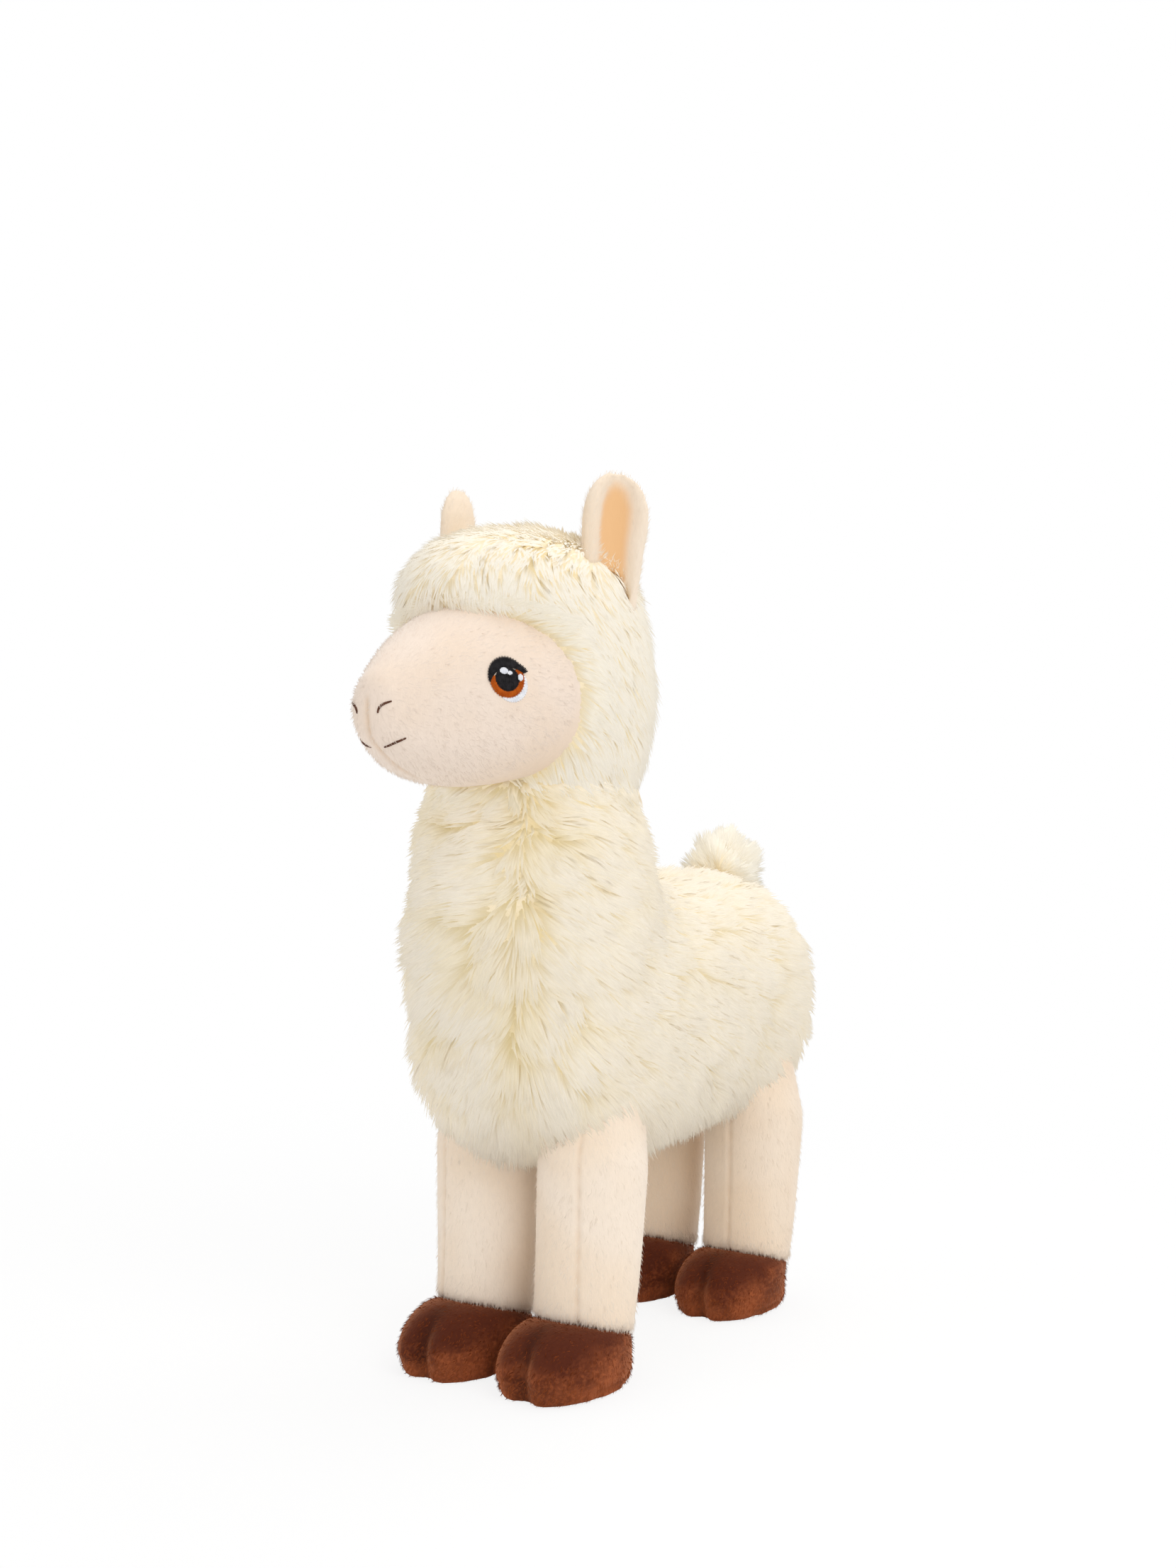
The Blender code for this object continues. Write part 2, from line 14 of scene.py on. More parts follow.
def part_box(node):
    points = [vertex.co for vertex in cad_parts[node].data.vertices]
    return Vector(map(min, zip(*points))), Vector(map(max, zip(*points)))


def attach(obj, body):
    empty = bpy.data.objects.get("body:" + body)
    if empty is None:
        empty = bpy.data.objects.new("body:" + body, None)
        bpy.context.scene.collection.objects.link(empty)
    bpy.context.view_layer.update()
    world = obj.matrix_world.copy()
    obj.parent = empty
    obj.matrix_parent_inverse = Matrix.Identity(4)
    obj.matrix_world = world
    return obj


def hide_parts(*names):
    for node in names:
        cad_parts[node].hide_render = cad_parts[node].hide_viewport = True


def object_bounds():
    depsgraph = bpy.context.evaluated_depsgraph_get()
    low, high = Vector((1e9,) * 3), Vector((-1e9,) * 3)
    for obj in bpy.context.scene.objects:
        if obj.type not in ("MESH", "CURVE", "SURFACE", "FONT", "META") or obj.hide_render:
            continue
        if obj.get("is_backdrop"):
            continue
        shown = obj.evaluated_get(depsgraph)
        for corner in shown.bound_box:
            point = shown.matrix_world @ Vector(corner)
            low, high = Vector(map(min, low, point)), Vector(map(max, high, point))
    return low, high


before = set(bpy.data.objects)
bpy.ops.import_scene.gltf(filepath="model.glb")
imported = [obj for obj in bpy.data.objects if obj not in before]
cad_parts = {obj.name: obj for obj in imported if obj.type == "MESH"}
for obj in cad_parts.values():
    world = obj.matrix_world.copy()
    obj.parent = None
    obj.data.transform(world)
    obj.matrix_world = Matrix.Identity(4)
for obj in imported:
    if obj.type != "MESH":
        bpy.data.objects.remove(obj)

CAD_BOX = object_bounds()
LOCK_MAP = "OFBake"
log = logging.getLogger("llama")


# Hand tools


def pick(*objects: bpy.types.Object) -> None:
    """Selects these objects alone and makes the last one active."""
    bpy.ops.object.select_all(action="DESELECT")
    for obj in objects:
        obj.select_set(True)
    bpy.context.view_layer.objects.active = objects[-1]


def press(obj: bpy.types.Object, kind: str, **settings: Any) -> None:
    """Adds one modifier to a piece and applies it.

    Args:
        obj: the piece.
        kind: the modifier's type.
        settings: the modifier's values.
    """
    pick(obj)
    modifier = obj.modifiers.new(kind.title(), kind)
    for name, value in settings.items():
        setattr(modifier, name, value)
    bpy.ops.object.modifier_apply(modifier=modifier.name)


def edit(obj: bpy.types.Object) -> None:
    """Opens a piece in edit mode with all of it selected."""
    pick(obj)
    bpy.ops.object.mode_set(mode="EDIT")
    bpy.ops.mesh.select_mode(type="VERT")
    bpy.ops.mesh.select_all(action="SELECT")


def done() -> None:
    """Leaves edit mode."""
    bpy.ops.object.mode_set(mode="OBJECT")


def piece_of(name: str, mesh: bpy.types.Mesh) -> bpy.types.Object:
    """Puts a mesh into the scene as a piece of this name."""
    obj = bpy.data.objects.new(name, mesh)
    bpy.context.scene.collection.objects.link(obj)
    return obj


def copied(node: str, name: str) -> bpy.types.Object:
    """A piece that starts as a merged copy of a CAD node's mesh.

    Args:
        node: the CAD node's name.
        name: the new piece's name.

    Returns:
        The new piece, with no material.
    """
    obj = piece_of(name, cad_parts[node].data.copy())
    obj.data.materials.clear()
    while obj.data.uv_layers:
        obj.data.uv_layers.remove(obj.data.uv_layers[0])
    edit(obj)
    bpy.ops.mesh.customdata_custom_splitnormals_clear()
    bpy.ops.mesh.remove_doubles(threshold=1e-5)
    bpy.ops.mesh.normals_make_consistent(inside=False)
    done()
    return obj


def joined(pieces: Sequence[bpy.types.Object]) -> bpy.types.Object:
    """Joins pieces into the last one."""
    pick(*pieces)
    bpy.ops.object.join()
    return pieces[-1]


def hulled(obj: bpy.types.Object) -> bpy.types.Object:
    """Wraps a piece in its own tight skin, which closes its openings."""
    edit(obj)
    bpy.ops.mesh.convex_hull()
    done()
    return obj


def halved(obj: bpy.types.Object, height: float, keep_top: bool) -> bpy.types.Object:
    """Cuts a piece level and closes the cut.

    Args:
        obj: the piece.
        height: the height of the cut.
        keep_top: whether the upper part stays.

    Returns:
        The same piece.
    """
    edit(obj)
    bpy.ops.mesh.bisect(
        plane_co=(0, 0, height), plane_no=(0, 0, 1), use_fill=True,
        clear_inner=keep_top, clear_outer=not keep_top,
    )
    done()
    return obj


def points_of(obj: bpy.types.Object) -> np.ndarray:
    """The places of a piece's points, one row each."""
    flat = np.empty(len(obj.data.vertices) * 3)
    obj.data.vertices.foreach_get("co", flat)
    return flat.reshape(-1, 3)


def normals_of(obj: bpy.types.Object) -> np.ndarray:
    """The smooth outward directions of a piece's points, one row each."""
    flat = np.empty(len(obj.data.vertices) * 3)
    obj.data.vertices.foreach_get("normal", flat)
    return flat.reshape(-1, 3)


def move_to(obj: bpy.types.Object, places: np.ndarray) -> None:
    """Puts a piece's points at these places."""
    obj.data.vertices.foreach_set("co", places.ravel())
    obj.data.update()


def painted(obj: bpy.types.Object, name: str, values: np.ndarray) -> None:
    """Keeps a value from 0 to 1 at each point of a piece, for its material to read."""
    layer = obj.data.attributes.new(name, "FLOAT", "POINT")
    layer.data.foreach_set("value", np.clip(values, 0, 1).astype(np.float32))


def smooth_shaded(obj: bpy.types.Object) -> None:
    """Shades a piece smooth all over."""
    pick(obj)
    bpy.ops.object.shade_smooth()


def surface_tree(obj: bpy.types.Object) -> BVHTree:
    """A piece's faces, ready for rays and nearest points."""
    mesh = obj.data
    return BVHTree.FromPolygons([v.co for v in mesh.vertices], [p.vertices for p in mesh.polygons])


def depth_in(tree: BVHTree, places: np.ndarray) -> np.ndarray:
    """How deep each place is inside a closed surface, below 0 outside.

    Args:
        tree: the surface.
        places: one row for each place.

    Returns:
        One depth for each place.
    """
    found = np.empty(len(places))
    for i, place in enumerate(places):
        near, normal, _, _ = tree.find_nearest(Vector(place))
        step = near - Vector(place)
        found[i] = step.length if step.dot(normal) > 0 else -step.length
    return found


def ease(low: float, high: float, values: np.ndarray) -> np.ndarray:
    """A soft step from 0 at low to 1 at high."""
    share = np.clip((values - low) / (high - low), 0, 1)
    return share * share * (3 - 2 * share)


def bell(values: np.ndarray, width: float) -> np.ndarray:
    """A soft bump that is 1 at 0 and falls away over width."""
    return np.exp(-((values / width) ** 2))


def unit(rows: np.ndarray) -> np.ndarray:
    """Each row at length 1."""
    return rows / np.maximum(np.linalg.norm(rows, axis=-1, keepdims=True), 1e-12)


def along_skin(ways: np.ndarray, normals: np.ndarray) -> np.ndarray:
    """Directions laid down onto the skin."""
    return unit(ways - normals * (ways * normals).sum(1, keepdims=True))


def rows(*columns: Any) -> np.ndarray:
    """Stacks three columns, each an array or a number, into rows."""
    return np.stack(np.broadcast_arrays(*columns), axis=-1).astype(float)


# Materials


class Wire:
    """A socket that Python's own signs can work on."""

    def __init__(self, paint: "Paint", socket: bpy.types.NodeSocket) -> None:
        """Keeps the socket and the material that it is in."""
        self.paint = paint
        self.socket = socket

    def maths(self, operation: str, *values: Any) -> "Wire":
        """One Math node on these values."""
        return self.paint.node("ShaderNodeMath", {"operation": operation}, dict(enumerate(values)))

    def __add__(self, other: Any) -> "Wire":
        """This plus other."""
        return self.maths("ADD", self, other)

    def __rsub__(self, other: Any) -> "Wire":
        """Other less this."""
        return self.maths("SUBTRACT", other, self)

    def __mul__(self, other: Any) -> "Wire":
        """This times other."""
        return self.maths("MULTIPLY", self, other)

    __radd__ = __add__
    __rmul__ = __mul__

    def eased(self, low: float, high: float) -> "Wire":
        """A soft step from 0 at low to 1 at high."""
        values = {"Value": self, "From Min": low, "From Max": high}
        return self.paint.node("ShaderNodeMapRange", {"interpolation_type": "SMOOTHSTEP"}, values)


class Paint:
    """One material or world, built node by node."""

    def __init__(self, name: str, world: bool = False) -> None:
        """Starts an empty material of this name, or an empty world."""
        self.owner = (bpy.data.worlds if world else bpy.data.materials).new(name)
        self.owner.use_nodes = True
        self.tree = self.owner.node_tree
        self.tree.nodes.clear()

    def node(
        self, kind: str, settings: dict[str, Any], inputs: dict[Any, Any], out: Any = 0
    ) -> Any:
        """Adds a node.

        Args:
            kind: the node's type.
            settings: its own values, set first.
            inputs: a value or a Wire for each named or numbered socket.
            out: the output that is wanted.

        Returns:
            That output, or nothing where the node has none.
        """
        made = self.tree.nodes.new(kind)
        for name, value in settings.items():
            setattr(made, name, value)
        for key, value in inputs.items():
            if isinstance(value, Wire):
                self.tree.links.new(value.socket, made.inputs[key])
            else:
                made.inputs[key].default_value = value
        return Wire(self, made.outputs[out]) if len(made.outputs) else None

    def place(self) -> Wire:
        """The place of a point in the piece."""
        return self.node("ShaderNodeTexCoord", {}, {}, "Object")

    def stretched(self, by: Sequence[float]) -> Wire:
        """The place with each axis scaled."""
        return self.node("ShaderNodeMapping", {}, {"Vector": self.place(), "Scale": by})

    def noise(self, where: Wire, scale: float, detail: float = 2.0, rough: float = 0.5) -> Wire:
        """Soft noise about 0.5."""
        values = {"Vector": where, "Scale": scale, "Detail": detail, "Roughness": rough}
        return self.node("ShaderNodeTexNoise", {}, values)

    def kept(self, name: str) -> Wire:
        """A value that the piece keeps at its points."""
        settings = {"attribute_name": name}
        return self.node("ShaderNodeAttribute", settings, {}, "Fac")

    def lock_map(self) -> tuple[Wire, Wire]:
        """The two values of a lock's own map: its tint, and the height from root to tip."""
        place = self.node("ShaderNodeUVMap", {"uv_map": LOCK_MAP}, {})
        tint = self.node("ShaderNodeSeparateXYZ", {}, {0: place})
        return tint, Wire(self, tint.socket.node.outputs[1])

    def blend(self, share: Any, one: Any, two: Any) -> Wire:
        """A colour between two, by share."""
        settings = {"data_type": "RGBA", "blend_type": "MIX"}
        values = {0: share, 6: one, 7: two}
        return self.node("ShaderNodeMix", settings, values, 2)

    def shaded(self, colour: Any, share: Wire) -> Wire:
        """A colour multiplied by a grey value."""
        grey = self.node("ShaderNodeCombineColor", {}, {0: share, 1: share, 2: share})
        settings = {"data_type": "RGBA", "blend_type": "MULTIPLY"}
        return self.node("ShaderNodeMix", settings, {0: 1.0, 6: colour, 7: grey}, 2)

    def bumps(self, height: Wire, strength: float, distance: float) -> Wire:
        """A normal from a height."""
        values = {"Height": height, "Strength": strength, "Distance": distance}
        return self.node("ShaderNodeBump", {}, values)

    def finish(self, **sockets: Any) -> bpy.types.Material:
        """Ends the material in a Principled shader.

        Args:
            sockets: its values or Wires, with _ for each space in a name.

        Returns:
            The material.
        """
        values = {name.replace("_", " "): value for name, value in sockets.items()}
        shader = self.node("ShaderNodeBsdfPrincipled", {}, values)
        self.node("ShaderNodeOutputMaterial", {}, {"Surface": shader})
        return self.owner


Colour = tuple[float, float, float, float]


def tone(red: float, green: float, blue: float) -> Colour:
    """A colour as a socket takes it."""
    return (red, green, blue, 1.0)


@dataclass(frozen=True)
class LongPile:
    """The long cream fleece: pale at its tips and straw-coloured at its roots, with painted shade
    deepening the roots and the tinted locks.
    """

    name: str = "long_pile"
    tip: Colour = tone(0.97, 0.885, 0.745)
    # A high tint moves the tips to warm_tip and the roots to deep_root: painted shade of partings,
    # crevices and the jaw, as well as random tone
    warm_tip: Colour = tone(0.945, 0.825, 0.60)
    root: Colour = tone(0.92, 0.79, 0.56)
    deep_root: Colour = tone(0.80, 0.64, 0.34)
    strands: float = 0.005

    def locks(self) -> bpy.types.Material:
        """The finish of the locks, by their own map: tint across, root to tip upward."""
        paint = Paint(self.name + "_locks")
        tint, height = paint.lock_map()
        root = paint.blend(tint, self.root, self.deep_root)
        tip = paint.blend(tint, self.tip, self.warm_tip)
        # Darker towards the root: partly the fleece's own straw colour, partly painted shade deep in
        # the pile
        colour = paint.blend(height.eased(0.02, 0.62), root, tip)
        # Faint darker stripes across each lock: painted shade in the grooves between its strands
        strand_shade = tint.maths("SINE", tint * (2 * pi / self.strands))
        colour = paint.shaded(colour, 0.95 + strand_shade * 0.05)
        return paint.finish(
            Base_Color=colour, Roughness=0.72, Sheen_Weight=0.06, Sheen_Roughness=0.5,
            Specular_IOR_Level=0.0,
        )

    def backing(self) -> bpy.types.Material:
        """The finish of the cloth that the locks grow from."""
        paint = Paint(self.name + "_backing")
        mottle = paint.noise(paint.place(), 60.0, 3.0)
        weave = paint.noise(paint.place(), 1400.0, 1.0)
        colour = paint.blend(mottle.eased(0.35, 0.7), self.root, self.deep_root)
        bump = paint.bumps(weave, 0.5, 0.0004)
        return paint.finish(Base_Color=colour, Roughness=0.95, Normal=bump, Sheen_Weight=0.1)


@dataclass(frozen=True)
class ShortPile:
    """The short peach-cream plush of face, ears and legs."""

    name: str = "short_pile"
    pale: Colour = tone(0.885, 0.765, 0.64)
    warm: Colour = tone(0.865, 0.715, 0.56)
    # The colour of painted shade in seam grooves and creases
    seam: Colour = tone(0.70, 0.50, 0.33)
    # The warm colour of the ears' hollows: painted shade inside the fold
    hollow_and_top_shade: Colour = tone(0.84, 0.55, 0.29)
    seam_share: float = 0.75
    nap: tuple[float, float, float] = (1.0, 1.0, 0.4)

    def cloth(self) -> bpy.types.Material:
        """The finish of a plush skin, which keeps as values the painted shade along its seams and in
        its hollows.
        """
        paint = Paint(self.name)
        broad = paint.noise(paint.place(), 26.0, 2.0)
        tufts = paint.noise(paint.stretched(self.nap), 800.0, 2.0, 0.6)
        hairs = paint.noise(paint.stretched(self.nap), 2600.0, 1.0, 0.6)
        colour = paint.blend(broad.eased(0.34, 0.68), self.pale, self.warm)
        colour = paint.shaded(colour, 0.93 + tufts * 0.09 + hairs * 0.05)
        # Painted shade where the piece keeps it, in the ears' hollows
        colour = paint.blend(paint.kept("hollow_and_top_shade"), colour, self.hollow_and_top_shade)
        # Painted shade along the seam grooves
        colour = paint.blend(paint.kept("seam") * self.seam_share, colour, self.seam)
        bump = paint.bumps(tufts * 0.6 + hairs * 0.4, 0.35, 0.0003)
        return paint.finish(
            Base_Color=colour, Roughness=0.9, Normal=bump, Sheen_Weight=0.25,
            Sheen_Roughness=0.45, Specular_IOR_Level=0.2,
        )

    def fuzz(self) -> bpy.types.Material:
        """The finish of the short fibres that stand on a plush skin."""
        paint = Paint(self.name + "_fuzz")
        tint, _ = paint.lock_map()
        colour = paint.blend(tint, self.pale, self.warm)
        return paint.finish(
            Base_Color=colour, Roughness=0.85, Sheen_Weight=0.1, Specular_IOR_Level=0.0
        )


@dataclass(frozen=True)
class HoofPile:
    """The dense brown plush of the feet, with painted shade on top and painted light along the rim.
    """

    # dark and lit are one brown plush painted in shade and in light
    dark: Colour = tone(0.074, 0.013, 0.004)
    lit: Colour = tone(0.32, 0.083, 0.027)
    sheen: Colour = tone(1.0, 0.40, 0.19)

    def cloth(self) -> bpy.types.Material:
        """The finish of a foot."""
        paint = Paint("hoof_pile")
        patches = paint.noise(paint.place(), 55.0, 3.0, 0.55)
        strands = paint.noise(paint.stretched((1.0, 0.45, 0.8)), 1100.0, 2.0, 0.65)
        hairs = paint.noise(paint.stretched((1.0, 0.4, 0.8)), 2200.0, 1.0, 0.6)
        # Random patches mix painted shade and painted light, as a nap catches the light
        share = patches.eased(0.38, 0.66) * 0.6 + strands.eased(0.4, 0.7) * 0.4
        # Painted shade on top, where the piece keeps it, and painted light low along the rim
        share = share * (1.0 - paint.kept("hollow_and_top_shade") * 0.9) + paint.kept("rim") * 0.3
        colour = paint.blend(share, self.dark, self.lit)
        # Painted shade in the welt groove and the cleft between the toes
        colour = paint.shaded(colour, 1.0 - paint.kept("seam") * 0.55)
        bump = paint.bumps(strands * 0.7 + hairs * 0.3, 0.5, 0.0005)
        return paint.finish(
            Base_Color=colour, Roughness=0.8, Normal=bump, Sheen_Weight=0.55,
            Sheen_Roughness=0.38, Sheen_Tint=self.sheen, Specular_IOR_Level=0.15,
        )

    def fuzz(self) -> bpy.types.Material:
        """The finish of the fibres that stand on a foot."""
        paint = Paint("hoof_pile_fuzz")
        tint, _ = paint.lock_map()
        colour = paint.blend(tint, self.dark, self.lit)
        return paint.finish(
            Base_Color=colour, Roughness=0.7, Sheen_Weight=0.2, Sheen_Tint=self.sheen,
            Specular_IOR_Level=0.0,
        )


@dataclass(frozen=True)
class Thread:
    """Embroidery thread."""

    name: str
    colour: Colour
    shade: Colour

    def finish(self) -> bpy.types.Material:
        """The finish of a patch of satin stitch."""
        paint = Paint(self.name)
        twist = paint.noise(paint.place(), 2600.0, 1.0)
        patch = paint.noise(paint.place(), 700.0, 1.0)
        colour = paint.blend(patch.eased(0.3, 0.7), self.colour, self.shade)
        bump = paint.bumps(twist, 0.35, 0.00015)
        return paint.finish(
            Base_Color=colour, Roughness=0.45, Normal=bump, Specular_IOR_Level=0.07,
        )


class Yarn(Enum):
    """The four colours of thread."""

    BLACK = Thread("black_thread", tone(0.010, 0.009, 0.010), tone(0.022, 0.020, 0.022))
    AMBER = Thread("amber_thread", tone(0.48, 0.100, 0.007), tone(0.37, 0.065, 0.005))
    WHITE = Thread("white_thread", tone(0.86, 0.86, 0.88), tone(0.74, 0.75, 0.80))
    BROWN = Thread("brown_thread", tone(0.085, 0.036, 0.022), tone(0.13, 0.055, 0.034))


# Pile


@dataclass(frozen=True)
class Lock:
    """One wisp of pile, modelled once as a three-sided taper."""

    bent: bool = True
    belly: float = 0.86
    flatness: float = 0.38

    def model(self) -> tuple[np.ndarray, np.ndarray, np.ndarray]:
        """Models the wisp, one unit long and of radius 1 at its root.

        Returns:
            Its points, its triangles and the map place of each triangle's corners.
        """
        bpy.ops.object.select_all(action="DESELECT")
        bpy.ops.mesh.primitive_cone_add(vertices=3, radius1=1, radius2=0, depth=1)
        obj = bpy.context.active_object
        edit(obj)
        bpy.ops.transform.translate(value=(0, 0, 0.5))
        if self.bent:
            bpy.ops.mesh.bisect(plane_co=(0, 0, 0.5), plane_no=(0, 0, 1))
            done()
            for vertex in obj.data.vertices:
                vertex.select = abs(vertex.co.z - 0.5) < 0.01
            bpy.ops.object.mode_set(mode="EDIT")
            wide = self.belly / 0.5
            bpy.ops.transform.resize(value=(wide, wide, 1), center_override=(0, 0, 0.5))
        bpy.ops.mesh.select_all(action="SELECT")
        bpy.ops.mesh.quads_convert_to_tris()
        bpy.ops.mesh.normals_make_consistent(inside=False)
        done()
        points = points_of(obj)
        faces = np.array([tuple(p.vertices) for p in obj.data.polygons])
        bpy.data.objects.remove(obj)
        spots = self.mapped(points, faces)
        return points * (1.0, self.flatness, 1.0), faces, spots

    def mapped(self, points: np.ndarray, faces: np.ndarray) -> np.ndarray:
        """Lays the wisp's sides out side by side.

        Args:
            points: the wisp's points.
            faces: its triangles.

        Returns:
            The map place of each corner, across and up, from 0 to 1.
        """
        spots = np.zeros((len(faces), 3, 2))
        for i, face in enumerate(faces):
            corner = points[face]
            turn = np.round(np.arctan2(corner[:, 1], corner[:, 0]) / (2 * pi / 3)) % 3
            ring = np.linalg.norm(corner[:, :2], axis=1) > 1e-6
            if {0.0, 2.0} <= set(turn[ring]) and 1.0 not in set(turn[ring]):
                turn[turn == 0] = 3
            turn[~ring] = turn[ring].mean()
            spots[i, :, 0] = turn / 3
            spots[i, :, 1] = corner[:, 2]
            if np.ptp(corner[:, 2]) < 1e-6:
                spots[i, turn == 1, 1] = 0.03
        return spots


@dataclass
class Pelt:
    """Pile that grows from a skin: where each lock stands, which way it lies, how it clumps."""

    name: str
    skin: bpy.types.Object
    count: int
    seed: int
    lock: Lock = Lock()
    most: int = 19500
    shade: float = 0.06
    agreement: float = 0.35
    map_slack: float = 0.03
    map_low: float = 0.015
    map_high: float = 0.96

    def rooted(self, density: Any = None) -> None:
        """Scatters the roots over the skin, evenly or by a density.

        Args:
            density: a function of places that gives a share for each, or nothing.
        """
        self.rng = np.random.default_rng(self.seed)
        mesh = self.skin.data
        mesh.calc_loop_triangles()
        triangles = np.empty(len(mesh.loop_triangles) * 3, np.int32)
        mesh.loop_triangles.foreach_get("vertices", triangles)
        triangles = triangles.reshape(-1, 3)
        places, normals = points_of(self.skin), normals_of(self.skin)
        a, b, c = (places[triangles[:, k]] for k in range(3))
        weight = np.linalg.norm(np.cross(b - a, c - a), axis=1)
        if density is not None:
            weight = weight * density((a + b + c) / 3)
        chosen = self.rng.choice(len(triangles), self.count, p=weight / weight.sum())
        u, v = self.rng.random((2, self.count, 1))
        over = (u + v) > 1
        u, v = np.where(over, 1 - u, u), np.where(over, 1 - v, v)
        share = np.concatenate([1 - u - v, u, v], axis=1)
        corner = triangles[chosen]
        self.root = (places[corner] * share[:, :, None]).sum(1)
        self.normal = unit((normals[corner] * share[:, :, None]).sum(1))

    def keep(self, mask: np.ndarray) -> None:
        """Pulls out the locks that the mask leaves off."""
        self.root, self.normal = self.root[mask], self.normal[mask]

    def waves(self, size: float, seed: int) -> np.ndarray:
        """Slow random swings from -1 to 1 over the skin, one for each root.

        Args:
            size: how far apart the swings are.
            seed: which swings.

        Returns:
            One value for each root.
        """
        rng = np.random.default_rng(seed)
        total = np.zeros(len(self.root))
        for _ in range(7):
            wave = unit(rng.normal(size=(1, 3)))[0] * 2 * pi / size * rng.uniform(0.6, 1.5)
            total += np.sin(self.root @ wave + rng.uniform(0, 2 * pi))
        return total / 3.2

    def combed(
        self, way: np.ndarray, length: Any, width: Any, rise: Any, fall: Any, stray: float
    ) -> None:
        """Lays each lock along a direction.

        Args:
            way: the direction in which each lock lies.
            length: how long each lock is.
            width: how wide it is at its root.
            rise: the angle at which it leaves the skin, in degrees.
            fall: the angle of its outer half to the skin, in degrees.
            stray: how far single locks turn from their neighbours, in degrees.
        """
        n = len(self.root)
        way = along_skin(way, self.normal)
        side = np.cross(self.normal, way)
        turn = np.radians(self.rng.normal(0, stray, n) + 9 * self.waves(0.013, self.seed + 5))
        way = way * np.cos(turn)[:, None] + side * np.sin(turn)[:, None]
        lengths = np.broadcast_to(length, n) * self.rng.uniform(0.78, 1.12, n)
        self.width = np.broadcast_to(width, n) * self.rng.uniform(0.75, 1.2, n)
        lift = self.rng.normal(0, 5, n)
        first = np.radians(np.broadcast_to(rise, n) + lift)[:, None]
        second = np.radians(np.broadcast_to(fall, n) + lift)[:, None]
        half = lengths[:, None] / 2
        self.middle = self.root + half * (way * np.cos(first) + self.normal * np.sin(first))
        self.tip = self.middle + half * (way * np.cos(second) + self.normal * np.sin(second))

    def clumped(self, share: float, draw: Any) -> None:
        """Draws the tips of neighbours together into tufts.

        Args:
            share: how many of the locks lead a tuft, from 0 to 1.
            draw: how far the others go to their leader, from 0 to 1.
        """
        n = len(self.root)
        leaders = self.rng.choice(n, max(2, int(n * share)), replace=False)
        tree = KDTree(len(leaders))
        for i, leader in enumerate(leaders):
            tree.insert(self.root[leader], i)
        tree.balance()
        found = [tree.find(place) for place in self.root]
        near = leaders[[spot[1] for spot in found]]
        self.edge = np.clip(np.array([spot[2] for spot in found]) / self.reach(share), 0, 1)
        pull = (np.broadcast_to(draw, n) * self.rng.uniform(0.6, 1.25, n))[:, None]
        step = self.tip[near] - self.tip
        self.tip = self.tip + step * pull
        self.middle = self.middle + step * pull * 0.35

    def reach(self, share: float) -> float:
        """How far from its leader a tuft goes, where this share of the locks lead."""
        spread = np.ptp(self.root, axis=0)
        area = 2 * (spread[0] * spread[1] + spread[1] * spread[2] + spread[2] * spread[0])
        return 0.75 * (area / max(2, len(self.root) * share)) ** 0.5

    def drooped(self, drop: Any) -> None:
        """Lets the tips hang down by a length."""
        n = len(self.root)
        fall = rows(0.0, 0.0, -np.broadcast_to(drop, n))
        self.tip = self.tip + fall
        self.middle = self.middle + fall * 0.3

    def grown(self, tint: Any, finish: bpy.types.Material, soft: float = 0.6) -> list:
        """Makes the locks.

        Args:
            tint: a value from 0 to 1 for each lock's colour.
            finish: their material.
            soft: how much the skin's own direction lights the locks, from 0 to 1.

        Returns:
            The pieces that hold them.
        """
        points, faces, spots = self.lock.model()
        tints = np.clip(np.broadcast_to(tint, len(self.root)), 0.02, 0.98)
        order = np.argsort(self.root[:, 2] + self.root[:, 1] * 0.01)
        shading = self.rng.random(len(order)) < self.shade
        pieces = []
        for label, chosen, casts in (
            (self.name, order[~shading[order]], False),
            (self.name + "_under", order[shading[order]], True),
        ):
            total = max(1, -(-len(chosen) * len(faces) // (self.most * 10)))
            for number, part in enumerate(np.array_split(chosen, total)):
                name = label if total == 1 else f"{label}_{number + 1}"
                piece = self.piece(name, part, points, faces, spots, tints, soft)
                piece.data.materials.append(finish)
                piece.visible_shadow = piece.visible_diffuse = casts
                pieces.append(piece)
        return pieces

    def piece(
        self, name: str, part: np.ndarray, points: np.ndarray, faces: np.ndarray,
        spots: np.ndarray, tints: np.ndarray, soft: float,
    ) -> bpy.types.Object:
        """Copies the wisp to each root of one part of the pelt.

        Args:
            name: the piece's name.
            part: the numbers of its locks.
            points: the wisp's points.
            faces: its triangles.
            spots: the map places of its corners.
            tints: one value for each lock of the pelt.
            soft: how much the skin's own direction lights the locks.

        Returns:
            The piece.
        """
